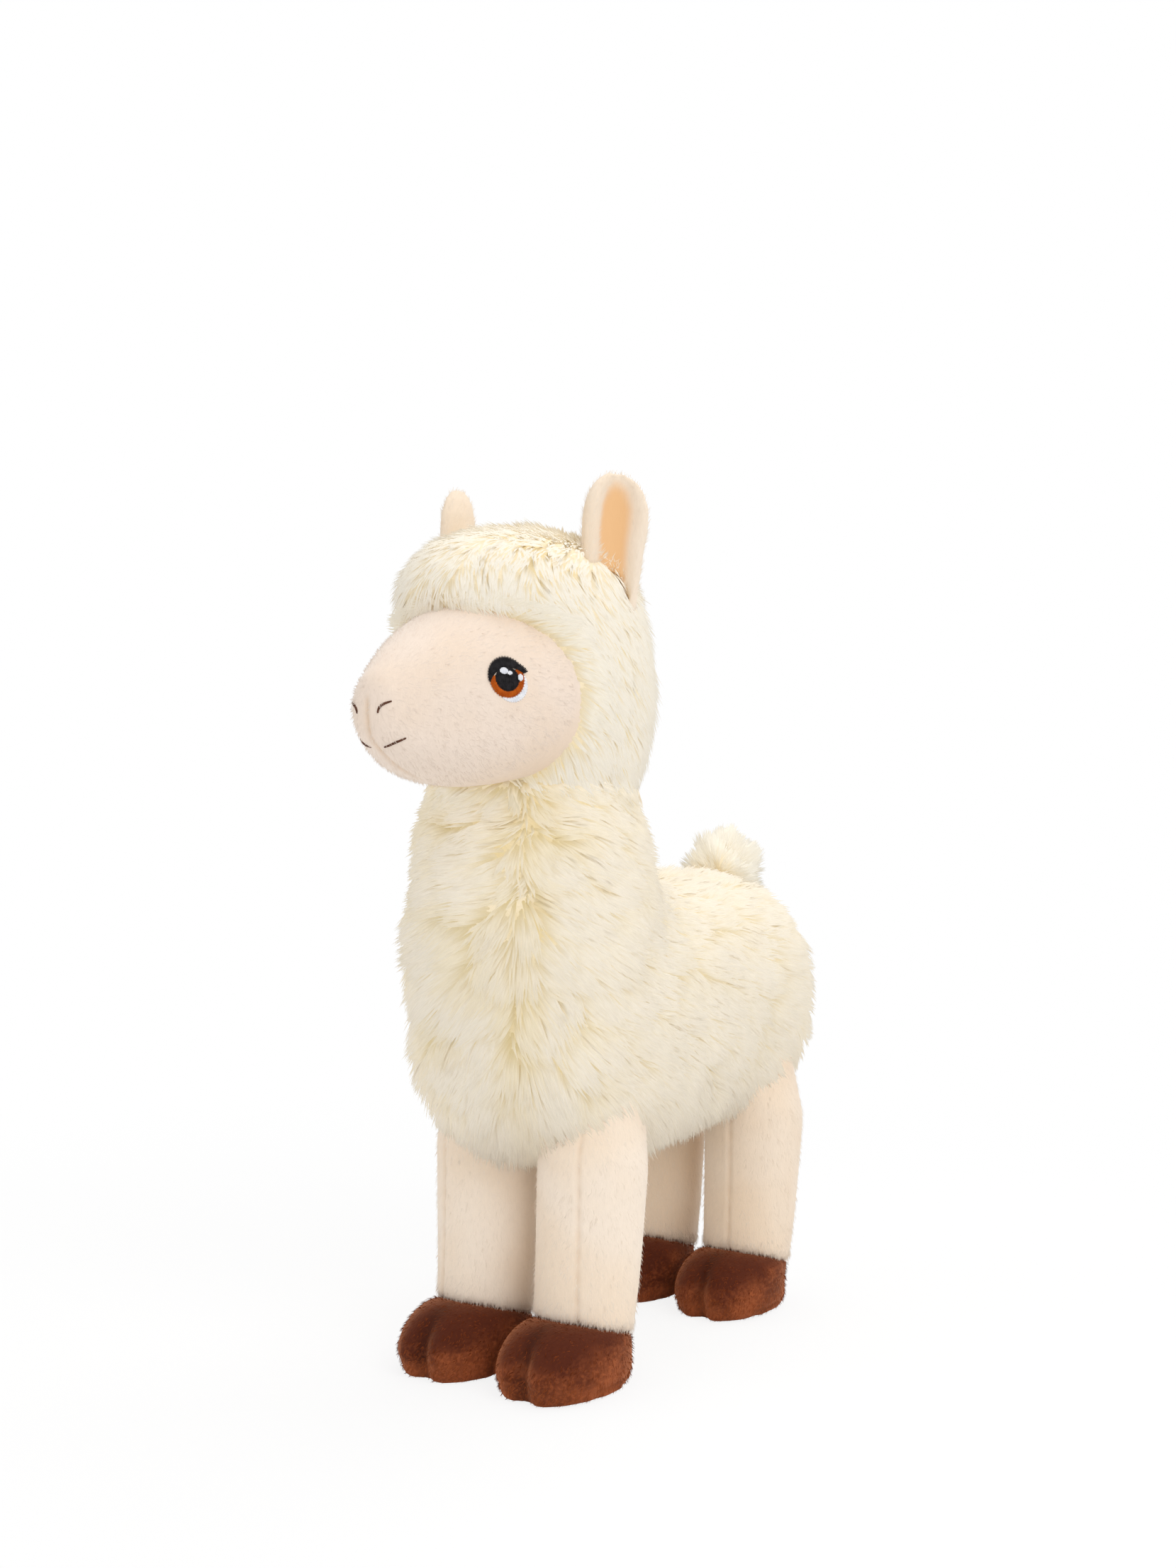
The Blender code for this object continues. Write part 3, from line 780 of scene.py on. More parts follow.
        # A lock lights as its skin does, but no face may be lit from behind itself.
        root, middle, tip = self.root[part], self.middle[part], self.tip[part]
        normal, width = self.normal[part], self.width[part]
        n, m = len(part), len(points)
        t = points[:, 2][None, :, None]
        core = (
            root[:, None] * (1 - t) ** 2 + middle[:, None] * 2 * t * (1 - t) + tip[:, None] * t**2
        )
        slope = (middle - root)[:, None] * 2 * (1 - t) + (tip - middle)[:, None] * 2 * t
        slope = unit(slope)
        side = unit(np.cross(normal[:, None], slope))
        up = np.cross(slope, side)
        ring = side * points[:, 0][None, :, None] + up * points[:, 1][None, :, None]
        places = core + ring * width[:, None, None] / 2
        mesh = bpy.data.meshes.new(name)
        mesh.vertices.add(n * m)
        mesh.vertices.foreach_set("co", places.ravel())
        corners = (faces[None] + (np.arange(n) * m)[:, None, None]).ravel()
        mesh.loops.add(len(corners))
        mesh.loops.foreach_set("vertex_index", corners.astype(np.int32))
        mesh.polygons.add(n * len(faces))
        mesh.polygons.foreach_set("loop_start", np.arange(0, len(corners), 3, dtype=np.int32))
        mesh.update(calc_edges=True)
        layer = mesh.uv_layers.new(name=LOCK_MAP)
        laid = np.empty((n, len(faces), 3, 2))
        laid[..., 0] = tints[part][:, None, None] + (spots[None, ..., 0] - 0.5) * self.map_slack
        laid[..., 1] = self.map_low + spots[None, ..., 1] * self.map_high
        layer.data.foreach_set("uv", laid.astype(np.float32).ravel())
        mesh.shade_smooth()
        light = unit(normal[:, None] * soft + unit(ring + slope * 0.3) * (1 - soft))
        a, b, c = (places[:, faces[:, k]] for k in range(3))
        flat = unit(np.cross(b - a, c - a))[:, :, None]
        light = light[:, faces]
        against = (light * flat).sum(-1, keepdims=True)
        light = unit(light + flat * np.maximum(0.0, self.agreement - against))
        mesh.normals_split_custom_set(light.reshape(-1, 3))
        return piece_of(name, mesh)


# Stuffed skins


@dataclass(frozen=True)
class Stuffing:
    """How a skin is filled: it is remeshed, then swells as cloth does, up to a cap."""

    voxel: float
    pressure: float = 4.0
    cap: float = 0.0012
    frames: int = 20
    smoothing: int = 6

    def fill(self, obj: bpy.types.Object) -> None:
        """Fills a closed skin."""
        press(obj, "REMESH", mode="VOXEL", voxel_size=self.voxel, use_smooth_shade=True)
        press(obj, "SMOOTH", factor=0.5, iterations=self.smoothing)
        self.swell(obj)

    def swell(self, obj: bpy.types.Object) -> None:
        """Lets the skin swell under pressure, and holds each point within the cap."""
        before = points_of(obj)
        pick(obj)
        cloth = obj.modifiers.new("Cloth", "CLOTH")
        cloth.settings.use_pressure = True
        cloth.settings.uniform_pressure_force = self.pressure
        cloth.settings.quality = 4
        cloth.settings.mass = 0.2
        cloth.settings.effector_weights.gravity = 0
        cloth.point_cache.frame_start = 1
        cloth.point_cache.frame_end = self.frames
        scene = bpy.context.scene
        for step in range(1, self.frames + 1):
            scene.frame_set(step)
        bpy.ops.object.modifier_apply(modifier=cloth.name)
        scene.frame_set(1)
        step = np.nan_to_num(points_of(obj) - before)
        far = np.linalg.norm(step, axis=1, keepdims=True)
        move_to(obj, before + step * np.minimum(1, self.cap / np.maximum(far, 1e-9)))
        press(obj, "SMOOTH", factor=0.5, iterations=2)


def placed(piece: bpy.types.Object, slot: str, *nodes: str) -> bpy.types.Object:
    """Hands a finished piece to the frame.

    Args:
        piece: the piece.
        slot: the record's material slot; not used.
        nodes: the CAD nodes that it stands for.

    Returns:
        The piece.
    """
    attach(piece, "root")
    if nodes:
        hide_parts(*nodes)
    log.info("%s: %d faces", piece.name, len(piece.data.polygons))
    return piece


@dataclass
class Opening:
    """Where the hood leaves the face bare: an oval as seen from the side."""

    y: float = -0.1056
    z: float = 0.2270
    half_depth: float = 0.044
    half_height: float = 0.031

    def reach(self, places: np.ndarray) -> np.ndarray:
        """How far out each place is in the oval: 1 on its rim."""
        along = (places[:, 1] - self.y) / self.half_depth
        above = (places[:, 2] - self.z) / self.half_height
        return np.hypot(along, above)

    def away(self, places: np.ndarray) -> np.ndarray:
        """The direction away from the face at each place."""
        along = (places[:, 1] - self.y) / self.half_depth**2
        above = (places[:, 2] - self.z) / self.half_height**2
        return unit(rows(0.0, along, above))


@dataclass
class Body:
    """The fleece of neck and barrel, and of the hood."""

    pile: LongPile = LongPile()
    hood_pile: LongPile = LongPile("hood_pile", tone(0.975, 0.908, 0.785), tone(0.95, 0.85, 0.64))
    opening: Opening = field(default_factory=Opening)
    coat_depth: float = 0.0047
    hood_depth: float = 0.0040
    bare_depth: float = 0.006
    voxel: float = 0.0026
    collar: float = 0.1985
    collar_gap: float = 2e-4
    coat_locks: int = 41000
    coat_length: float = 0.0128
    coat_width: float = 0.00118
    hood_locks: int = 19000
    hood_length: float = 0.0104
    hood_width: float = 0.00100
    whorl: float = 0.016
    soft: float = 0.72

    def build(self, face: bpy.types.Object, hidden: Iterable[BVHTree]) -> None:
        """Makes the skins, then the locks.

        Args:
            face: the face, which no lock grows through.
            hidden: what else no lock starts inside.
        """
        self.face_tree = surface_tree(face)
        self.hidden = list(hidden)
        skin = self.skin()
        upper = piece_of("hood_skin", skin.data.copy())
        upper.data.name = "hood_skin"
        halved(skin, self.collar, False)
        halved(upper, self.collar, True)
        for piece, node, pile in ((skin, "coat", self.pile), (upper, "hood", self.hood_pile)):
            smooth_shaded(piece)
            piece.data.materials.append(pile.backing())
            placed(piece, "long_pile", node)
        self.dress_coat(skin)
        self.dress_hood(upper)

    def skin(self) -> bpy.types.Object:
        """One closed skin under the fleece, as deep below the CAD coat as the pile is high."""
        parts = [hulled(copied("hood", "hood_part")), copied("face", "face_part")]
        parts.append(copied("coat", "coat_skin"))
        skin = joined(parts)
        press(skin, "REMESH", mode="VOXEL", voxel_size=self.voxel, use_smooth_shade=True)
        press(skin, "SMOOTH", factor=0.5, iterations=14)
        places, normals = points_of(skin), normals_of(skin)
        high = ease(self.collar - 0.006, self.collar + 0.010, places[:, 2])
        depth = self.coat_depth + (self.hood_depth - self.coat_depth) * high
        bare = 1 - ease(0.94, 1.05, self.opening.reach(places))
        depth = depth + self.bare_depth * bare * high
        move_to(skin, places - normals * depth[:, None])
        press(skin, "SMOOTH", factor=0.5, iterations=6)
        Stuffing(0.0032, cap=0.0010).fill(skin)
        return skin

    def clear(self, places: np.ndarray, in_face: float, in_rest: float) -> np.ndarray:
        """Which places are free for a lock to start from.

        Args:
            places: the roots.
            in_face: how deep a root may be in the face.
            in_rest: how deep it may be in the ears and the legs.

        Returns:
            A mask of the places.
        """
        free = depth_in(self.face_tree, places) < in_face
        for tree in self.hidden:
            free &= depth_in(tree, places) < in_rest
        return free

    def parting(self, height: np.ndarray) -> np.ndarray:
        """How far to the left the parting of the chest lies at each height."""
        return 0.010 + 0.0085 * ease(0.078, 0.135, height)

    def coat_way(self, places: np.ndarray) -> np.ndarray:
        """The lie of the fleece over neck, chest, flanks and rump."""
        x, y, z = places.T
        off = x - self.parting(z)
        front = 1 - ease(-0.070, -0.030, y)
        side = np.where(off > 0, 1.0, -1.0) * ease(0.0, 0.004, np.abs(off))
        low = 1 - ease(0.085, 0.185, z)
        chest = rows(side * (1.0 - 0.35 * low), 0.15, -0.25 - 0.95 * low)
        flank = rows(0.0, 1.0, -0.42 - 0.35 * (1 - ease(0.08, 0.12, z)))
        top = ease(0.150, 0.163, z) * ease(-0.01, 0.01, y)
        flank = flank + top[:, None] * np.array([0.0, 0.3, 0.35])
        rump = ease(0.080, 0.112, y)
        flank = flank + rump[:, None] * np.array([0.0, -0.2, -1.3])
        nape = ease(-0.018, 0.0, y) * ease(0.165, 0.185, z)
        flank = flank + nape[:, None] * np.array([0.0, 0.0, -1.1])
        way = chest * front[:, None] + flank * (1 - front)[:, None]
        under = (1 - ease(0.078, 0.094, z))[:, None]
        return way * (1 - 0.6 * under) + np.array([0.0, 0.12, -1.0]) * under

    def coat_share(self, places: np.ndarray) -> np.ndarray:
        """How thickly locks stand on neck and barrel: more in front and along the hem."""
        front = 1 - ease(-0.06, 0, places[:, 1])
        return 1.0 + 0.2 * front + 0.9 * bell(places[:, 2] - 0.088, 0.01)

    def dress_coat(self, skin: bpy.types.Object) -> None:
        """Grows the fleece of neck and barrel."""
        pelt = Pelt("coat_fleece", skin, self.coat_locks, 11)
        pelt.rooted(self.coat_share)
        free = self.clear(pelt.root, in_face=0.0005, in_rest=0.001)
        pelt.keep(free & (pelt.root[:, 2] < self.collar - self.collar_gap))
        x, y, z = pelt.root.T
        swell = pelt.waves(0.022, 3)
        front = 1 - ease(-0.075, -0.020, y)
        hem = 1 - ease(0.082, 0.100, z)
        neck = ease(0.150, 0.190, z)
        length = self.coat_length + 0.0014 * front - 0.0014 * neck + 0.0030 * hem + 0.0010 * swell
        length = length * (1 - 0.35 * ease(0.186, 0.198, z))
        off = np.abs(x - self.parting(z))
        split = bell(off, 0.0045) * front
        under_jaw_shade = bell(z - 0.192, 0.012) * front
        rise = 28 - 8 * split - 4 * neck + 4 * front + 14 * hem
        fall = 10 - 4 * neck + 6 * swell + 16 * hem
        pelt.combed(self.coat_way(pelt.root), length, self.coat_width, rise, fall, stray=11)
        pelt.clumped(share=0.11, draw=0.40)
        pelt.clumped(share=0.016, draw=0.30 + 0.10 * front)
        pelt.drooped(0.0006 + 0.0036 * hem)
        blot = pelt.waves(0.017, 8) * 0.5 + 0.5
        crevice_shade = ease(0.40, 1.0, pelt.edge)
        # The tint is random tone plus painted shade in the chest parting, under the jaw and in the
        # crevices between tufts, most on the chest, and a little higher towards the left side
        tint = pelt.rng.uniform(0.0, 0.18, len(x)) + 0.62 * split + 0.7 * under_jaw_shade * blot
        tint = tint + (0.20 + 0.45 * front) * crevice_shade + 0.07 * ease(0.0, 0.03, x)
        for piece in pelt.grown(tint, self.pile.locks(), self.soft):
            placed(piece, "long_pile")

    def hood_way(self, places: np.ndarray) -> np.ndarray:
        """The lie of the fleece over the head: out from the face, then down and back."""
        x, y, z = places.T
        side = np.sign(x) * ease(0.0, 0.012, np.abs(x))
        brow = (1 - ease(-0.078, -0.056, y)) * ease(0.250, 0.264, z)
        crown = ease(0.255, 0.276, z)
        fall = rows(side * 0.25, 0.45, -1.0)
        forward = rows(side * 0.35, -0.55, -1.0)
        outward = unit(rows(x, (y - self.whorl) * 1.2, 0.0)) - np.array([0.0, 0.0, 0.15])
        way = fall * (1 - crown)[:, None] + outward * crown[:, None]
        way = way * (1 - brow)[:, None] + forward * brow[:, None]
        rim = (1 - ease(1.02, 1.45, self.opening.reach(places))) * (1 - brow)
        return way * (1 - 0.75 * rim)[:, None] + self.opening.away(places) * rim[:, None] * 1.1

    def hood_share(self, places: np.ndarray) -> np.ndarray:
        """How thickly locks stand on the head: more round the face and on the crown."""
        rim = bell(self.opening.reach(places) - 1.08, 0.12)
        return 1.0 + 0.5 * rim + 0.5 * ease(0.26, 0.28, places[:, 2])

    def dress_hood(self, skin: bpy.types.Object) -> None:
        """Grows the fleece of the head."""
        pelt = Pelt("hood_fleece", skin, self.hood_locks, 23)
        pelt.rooted(self.hood_share)
        free = self.clear(pelt.root, in_face=0.0008, in_rest=0.0008)
        free &= self.opening.reach(pelt.root) > 1.0
        pelt.keep(free & (pelt.root[:, 2] > self.collar + self.collar_gap))
        x, y, z = pelt.root.T
        rim = 1 - ease(1.03, 1.30, self.opening.reach(pelt.root))
        brow = (1 - ease(-0.075, -0.045, y)) * ease(0.250, 0.264, z)
        swell = pelt.waves(0.024, 4)
        length = self.hood_length + 0.0008 * swell - 0.0012 * rim - 0.001 * brow
        whorl = bell(np.hypot(x, y - self.whorl), 0.009) * ease(0.26, 0.27, z)
        length = length * (1 - 0.3 * whorl)
        rise = 25 + 14 * rim + 10 * whorl
        fall = 9 + 4 * swell + 4 * rim + 10 * whorl
        pelt.combed(self.hood_way(pelt.root), length, self.hood_width, rise, fall, stray=9)
        pelt.clumped(share=0.11, draw=0.28)
        pelt.clumped(share=0.016, draw=0.18)
        pelt.drooped(0.0004)
        # Locks round the face get a higher tint, less at the brow: painted shade where the fleece
        # meets the face
        tint = pelt.rng.uniform(0.0, 0.16, len(x)) + 0.38 * rim * (1 - 0.6 * brow)
        tint = tint + 0.14 * ease(-0.03, 0.0, y) * np.maximum(0, pelt.waves(0.02, 6))
        for piece in pelt.grown(tint, self.hood_pile.locks(), self.soft):
            placed(piece, "long_pile")


@dataclass
class Tail:
    """A pompom of fleece over the rump."""

    pile: LongPile = LongPile("tail_pile", tone(0.985, 0.925, 0.80), tone(0.955, 0.86, 0.66))
    core: float = 0.70
    lumps: float = 0.11
    lump_waves: tuple = ((420.0,), (230.0,), (510.0,))
    sink: tuple[float, float, float] = (0.0, -0.0022, -0.0042)
    locks: int = 4200
    length: float = 0.0108
    width: float = 0.00105

    def build(self) -> None:
        """Makes the small core and its locks."""
        core = copied("tail", "tail_skin")
        Stuffing(0.0022, cap=0.0006, smoothing=8).fill(core)
        places = points_of(core)
        middle = (places.min(0) + places.max(0)) / 2
        lumps = 1 + self.lumps * np.sin(places @ np.array(self.lump_waves))
        move_to(core, middle + (places - middle) * self.core * lumps + np.array(self.sink))
        smooth_shaded(core)
        core.data.materials.append(self.pile.backing())
        placed(core, "long_pile", "tail")
        pelt = Pelt("tail_fleece", core, self.locks, 31)
        pelt.rooted()
        low, high = (np.array(corner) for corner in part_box("tail"))
        root = np.array([0.0, low[1] + 0.004, low[2]])
        way = unit(pelt.root - root) + np.array([0.0, 0.25, -0.15])
        pelt.combed(way, self.length, self.width, rise=44, fall=24, stray=14)
        pelt.clumped(share=0.020, draw=0.42)
        pelt.clumped(share=0.12, draw=0.40)
        tint = pelt.rng.uniform(0.0, 0.25, len(pelt.root))
        for piece in pelt.grown(tint, self.pile.locks()):
            placed(piece, "long_pile")


@dataclass
class Face:
    """The short-pile face, with the seam down the middle of its muzzle."""

    pile: ShortPile = ShortPile("face_pile", tone(0.825, 0.70, 0.60), tone(0.81, 0.66, 0.53))
    seam_depth: float = 0.0007
    seam_half_width: float = 0.0009
    seam_top: float = 0.2215
    seam_front: float = -0.098
    fuzz: int = 9000
    fuzz_length: float = 0.0019
    fuzz_width: float = 0.00034
    fuzz_reach: float = 1.12
    eye_reach: float = 0.0085

    def build(self) -> bpy.types.Object:
        """Makes the face.

        Returns:
            The piece.
        """
        face = copied("face", "face_plush")
        Stuffing(0.0019, cap=0.0005, smoothing=5).fill(face)
        press(face, "SUBSURF", levels=1, render_levels=1)
        places, normals = points_of(face), normals_of(face)
        x, y, z = places.T
        on = bell(x, self.seam_half_width) * (1 - ease(self.seam_top, self.seam_top + 0.004, z))
        on = on * (1 - ease(self.seam_front, self.seam_front + 0.010, y))
        move_to(face, places - normals * (on * self.seam_depth)[:, None])
        # Painted shade along the pressed-in seam
        painted(face, "seam", on * 0.8)
        painted(face, "hollow_and_top_shade", np.zeros(len(x)))
        smooth_shaded(face)
        face.data.materials.append(self.pile.cloth())
        placed(face, "short_pile", "face")
        return face

    def dress(self, face: bpy.types.Object, opening: Opening, eyes: Sequence[Vector]) -> None:
        """Stands short fibres on the face, but not on the eyes.

        Args:
            face: the face.
            opening: what the hood leaves bare.
            eyes: the middles of the eyes.
        """
        pelt = Pelt("face_fuzz", face, self.fuzz, 41, Lock(bent=False))
        pelt.rooted()
        free = opening.reach(pelt.root) < self.fuzz_reach
        for eye in eyes:
            free &= np.linalg.norm(pelt.root - np.array(eye), axis=1) > self.eye_reach
        pelt.keep(free)
        way = rows(0.0, 1.0, -0.35 + 0 * pelt.root[:, 0])
        pelt.combed(way, self.fuzz_length, self.fuzz_width, rise=34, fall=22, stray=18)
        tint = pelt.rng.uniform(0.0, 0.4, len(pelt.root))
        for piece in pelt.grown(tint, self.pile.fuzz(), 0.7):
            placed(piece, "short_pile")


@dataclass
class Ears:
    """Two folded leaves with thick soft rims and warmer, darker painted shade in their hollows."""

    # The ears' plush is a little darker than the legs': partly painted shade of their shadowed side;
    # the hollow colour is painted shade inside the fold
    pile: ShortPile = ShortPile(
        "ear_pile", tone(0.845, 0.72, 0.585), tone(0.825, 0.67, 0.51), hollow_and_top_shade=tone(0.80, 0.49, 0.245)
    )
    voxel: float = 0.0011
    rim: float = 0.0018
    rim_blend: float = 0.0024
    sunk: float = 0.0085
    fuzz: int = 1500
    fuzz_length: float = 0.0020
    fuzz_width: float = 0.00034

    def build(self) -> list[BVHTree]:
        """Makes both ears.

        Returns:
            Their surfaces.
        """
        trees = []
        head = surface_tree(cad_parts["hood"])
        cloth, fibre = self.pile.cloth(), self.pile.fuzz()
        for number, word in enumerate(("left", "right")):
            ear = copied("ear_" + word, "ear_plush_" + word)
            press(ear, "REMESH", mode="VOXEL", voxel_size=self.voxel, use_smooth_shade=True)
            press(ear, "SMOOTH", factor=0.5, iterations=9)
            places = points_of(ear)
            wrap = hulled(copied("ear_" + word, "ear_wrap"))
            wrap_tree = surface_tree(wrap)
            bpy.data.objects.remove(wrap)
            hollow = depth_in(wrap_tree, places)
            # The deeper inside the ear's hull, the more painted shade of the hollow
            painted(ear, "hollow_and_top_shade", ease(self.rim, self.rim + self.rim_blend, hollow))
            outside = -depth_in(head, places)
            root = 1 - ease(0.0004, 0.0060, outside)
            move_to(ear, places - rows(0.0, 0.0, root * self.sunk))
            painted(ear, "seam", np.zeros(len(places)))
            smooth_shaded(ear)
            ear.data.materials.append(cloth)
            placed(ear, "short_pile", "ear_" + word)
            trees.append(surface_tree(ear))
            pelt = Pelt("ear_fuzz_" + word, ear, self.fuzz, 50 + number, Lock(bent=False))
            pelt.rooted()
            pelt.keep(depth_in(wrap_tree, pelt.root) < self.rim + 0.0006)
            way = rows(0.0, 0.2, 1.0 + 0 * pelt.root[:, 0])
            pelt.combed(way, self.fuzz_length, self.fuzz_width, rise=38, fall=26, stray=20)
            for piece in pelt.grown(pelt.rng.uniform(0, 0.6, len(pelt.root)), fibre, 0.7):
                placed(piece, "short_pile")
        return trees


@dataclass
class Limb:
    """One leg, its foot and its sole."""

    word: str
    side: int
    front: bool
    finishes: dict[str, bpy.types.Material]
    seam_out: float = 0.0062
    seam_depth: float = 0.0008
    hem: float = 0.0755
    narrow: float = 0.30
    seam_half_width: float = 0.00075
    welt_height: float = 0.0034
    welt_half_width: float = 0.0010
    welt_depth: float = 0.0006
    cleft_half_width: float = 0.0030
    lowest_fibre: float = 0.0003
    fuzz: int = 3400
    leg_fuzz_width: float = 0.00036
    foot_fuzz_length: float = 0.0019
    foot_fuzz_width: float = 0.00042

    def build(self) -> list[BVHTree]:
        """Makes the leg, the foot and the sole.

        Returns:
            The leg's surface.
        """
        tree = self.build_leg()
        self.build_foot()
        return [tree]

    def build_leg(self) -> BVHTree:
        """Makes the leg with its front seam, and the fringe over the foot.

        Returns:
            The leg's surface.
        """
        leg = copied("leg_" + self.word, "leg_plush_" + self.word)
        low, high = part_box("leg_" + self.word)
        places = points_of(leg)
        middle_x, middle_y = (low.x + high.x) / 2, (low.y + high.y) / 2
        inward = (np.array([middle_x, middle_y, 0.0]) - places) * np.array([1.0, 1.0, 0.0])
        narrow = ease(self.hem + 0.004, self.hem + 0.014, places[:, 2]) * self.narrow
        lift = ease(self.hem - 0.008, self.hem, places[:, 2]) * 0.006
        move_to(leg, places + inward * narrow[:, None] + rows(0.0, 0.0, lift))
        Stuffing(0.0017, cap=0.0006, smoothing=4).fill(leg)
        press(leg, "SUBSURF", levels=1, render_levels=1)
        places, normals = points_of(leg), normals_of(leg)
        x, y, z = places.T
        line = middle_x + self.side * (self.seam_out if self.front else 0.0)
        ahead = ease(0.0, 0.4, -normals[:, 1])
        on = bell(x - line, self.seam_half_width) * ahead
        on = on * (0.8 + 0.2 * np.sin(z * 900))
        move_to(leg, places - normals * (on * self.seam_depth)[:, None])
        # Painted shade along the pressed-in front seam
        painted(leg, "seam", on * 0.42)
        painted(leg, "hollow_and_top_shade", np.zeros(len(x)))
        smooth_shaded(leg)
        leg.data.materials.append(self.finishes["leg"])
        placed(leg, "short_pile", "leg_" + self.word)
        pelt = Pelt("leg_fuzz_" + self.word, leg, self.fuzz, len(self.word) * 7, Lock(bent=False))
        ankle = self.ankle(low.z, middle_y)
        pelt.rooted(lambda p: 1.0 + 7.0 * bell(p[:, 2] - ankle(p[:, 1]) - 0.0015, 0.0022))
        pelt.keep(pelt.root[:, 2] < high.z - 0.002)
        hem = bell(pelt.root[:, 2] - ankle(pelt.root[:, 1]), 0.003)
        down = rows(0.0, 0.0, -1.0 + 0 * hem)
        length, rise, fall = 0.0020 + 0.0022 * hem, 36 - 14 * hem, 20 - 12 * hem
        pelt.combed(down, length, self.leg_fuzz_width, rise, fall, stray=16)
        tint = pelt.rng.uniform(0.0, 0.35, len(hem))
        for piece in pelt.grown(tint, self.finishes["leg_fuzz"], 0.7):
            placed(piece, "short_pile")
        return surface_tree(leg)

    def ankle(self, low: float, middle: float) -> Any:
        """The height of the leg's lower edge, which slants down to the rear."""
        return lambda y: low + 0.0045 - (y - middle) * 0.28

    def build_foot(self) -> None:
        """Makes the foot and its sole as one stuffed bag, with the welt between them."""
        sole = copied("sole_" + self.word, "sole_plush_" + self.word)
        foot = joined([sole, copied("foot_" + self.word, "foot_plush_" + self.word)])
        Stuffing(0.0017, cap=0.0007, smoothing=4).fill(foot)
        press(foot, "SUBSURF", levels=1, render_levels=1)
        places, normals = points_of(foot), normals_of(foot)
        low, high = places.min(0), places.max(0)
        x, y, z = places.T
        upright = ease(0.35, 0.75, np.hypot(normals[:, 0], normals[:, 1]))
        behind = ease(low[1] + 0.012, low[1] + 0.024, y)
        welt = bell(z - low[2] - self.welt_height, self.welt_half_width) * upright * behind
        places = places - normals * (welt * self.welt_depth)[:, None]
        move_to(foot, np.maximum(places, (-1.0, -1.0, 0.0)))
        middle = (low[0] + high[0]) / 2
        ahead = 1 - ease(low[1] + 0.012, low[1] + 0.026, y)
        cleft = bell(x - middle, self.cleft_half_width) * ahead
        # Painted shade in the welt groove and the cleft between the toes
        painted(foot, "seam", welt * 0.45 + cleft * 0.7)
        # Painted shade where the foot faces up, and painted light low along its rim
        top = ease(0.1, 0.8, normals[:, 2] - 0.3 * normals[:, 1]) * ease(0.008, 0.014, z)
        painted(foot, "hollow_and_top_shade", top)
        painted(foot, "rim", 1 - ease(0.0035, 0.0080, z))
        smooth_shaded(foot)
        foot.data.materials.append(self.finishes["hoof"])
        stood_for = ("foot_" + self.word, "sole_" + self.word)
        placed(foot, "hoof_pile", *stood_for)
        seed = 70 + len(self.word)
        pelt = Pelt("foot_fuzz_" + self.word, foot, self.fuzz, seed, Lock(bent=False))
        pelt.rooted(lambda p: 1.0 + 0.8 * (1 - ease(0.002, 0.012, p[:, 2])))
        pelt.keep(pelt.root[:, 2] > 0.0006)
        way = rows(0.0 * pelt.root[:, 0], -1.0, -0.6)
        pelt.combed(way, self.foot_fuzz_length, self.foot_fuzz_width, rise=40, fall=22, stray=22)
        for places in (pelt.middle, pelt.tip):
            places[:, 2] = np.maximum(places[:, 2], self.lowest_fibre)
        # Lower fibres lean to the lit brown: painted light along the bottom
        low_down = 1 - ease(0.004, 0.012, pelt.root[:, 2])
        tint = pelt.rng.uniform(0.0, 0.55, len(pelt.root)) + 0.42 * low_down
        for piece in pelt.grown(tint, self.finishes["hoof_fuzz"], 0.5):
            placed(piece, "hoof_pile")


@dataclass
class Camera:
    """Where the photograph was taken from."""

    place: Vector = field(default_factory=lambda: Vector((0.3646, -0.5313, 0.2000)))
    target: Vector = field(default_factory=lambda: Vector((0.0256, -0.0362, 0.1973)))
    focal: float = 2572.0
    wide: float = 1659.0
    high: float = 2212.0
    sensor_wide: float = 27.0
    sensor_high: float = 36.0

    def build(self) -> None:
        """Adds the camera."""
        bpy.ops.object.select_all(action="DESELECT")
        aim = (self.target - self.place).to_track_quat("-Z", "Y").to_euler()
        bpy.ops.object.camera_add(location=self.place, rotation=aim)
        camera = bpy.context.active_object
        camera.data.sensor_fit = "VERTICAL"
        camera.data.sensor_height = self.sensor_high
        camera.data.sensor_width = self.sensor_wide
        camera.data.lens = self.focal / self.high * self.sensor_high
        camera.data.clip_start = 0.01
        bpy.context.scene.camera = camera

    def ray(self, across: float, down: float) -> Vector:
        """The direction of one pixel of the photograph."""
        turn = (self.target - self.place).to_track_quat("-Z", "Y")
        flat = Vector((across - self.wide / 2, self.high / 2 - down, -self.focal))
        return (turn @ flat).normalized()


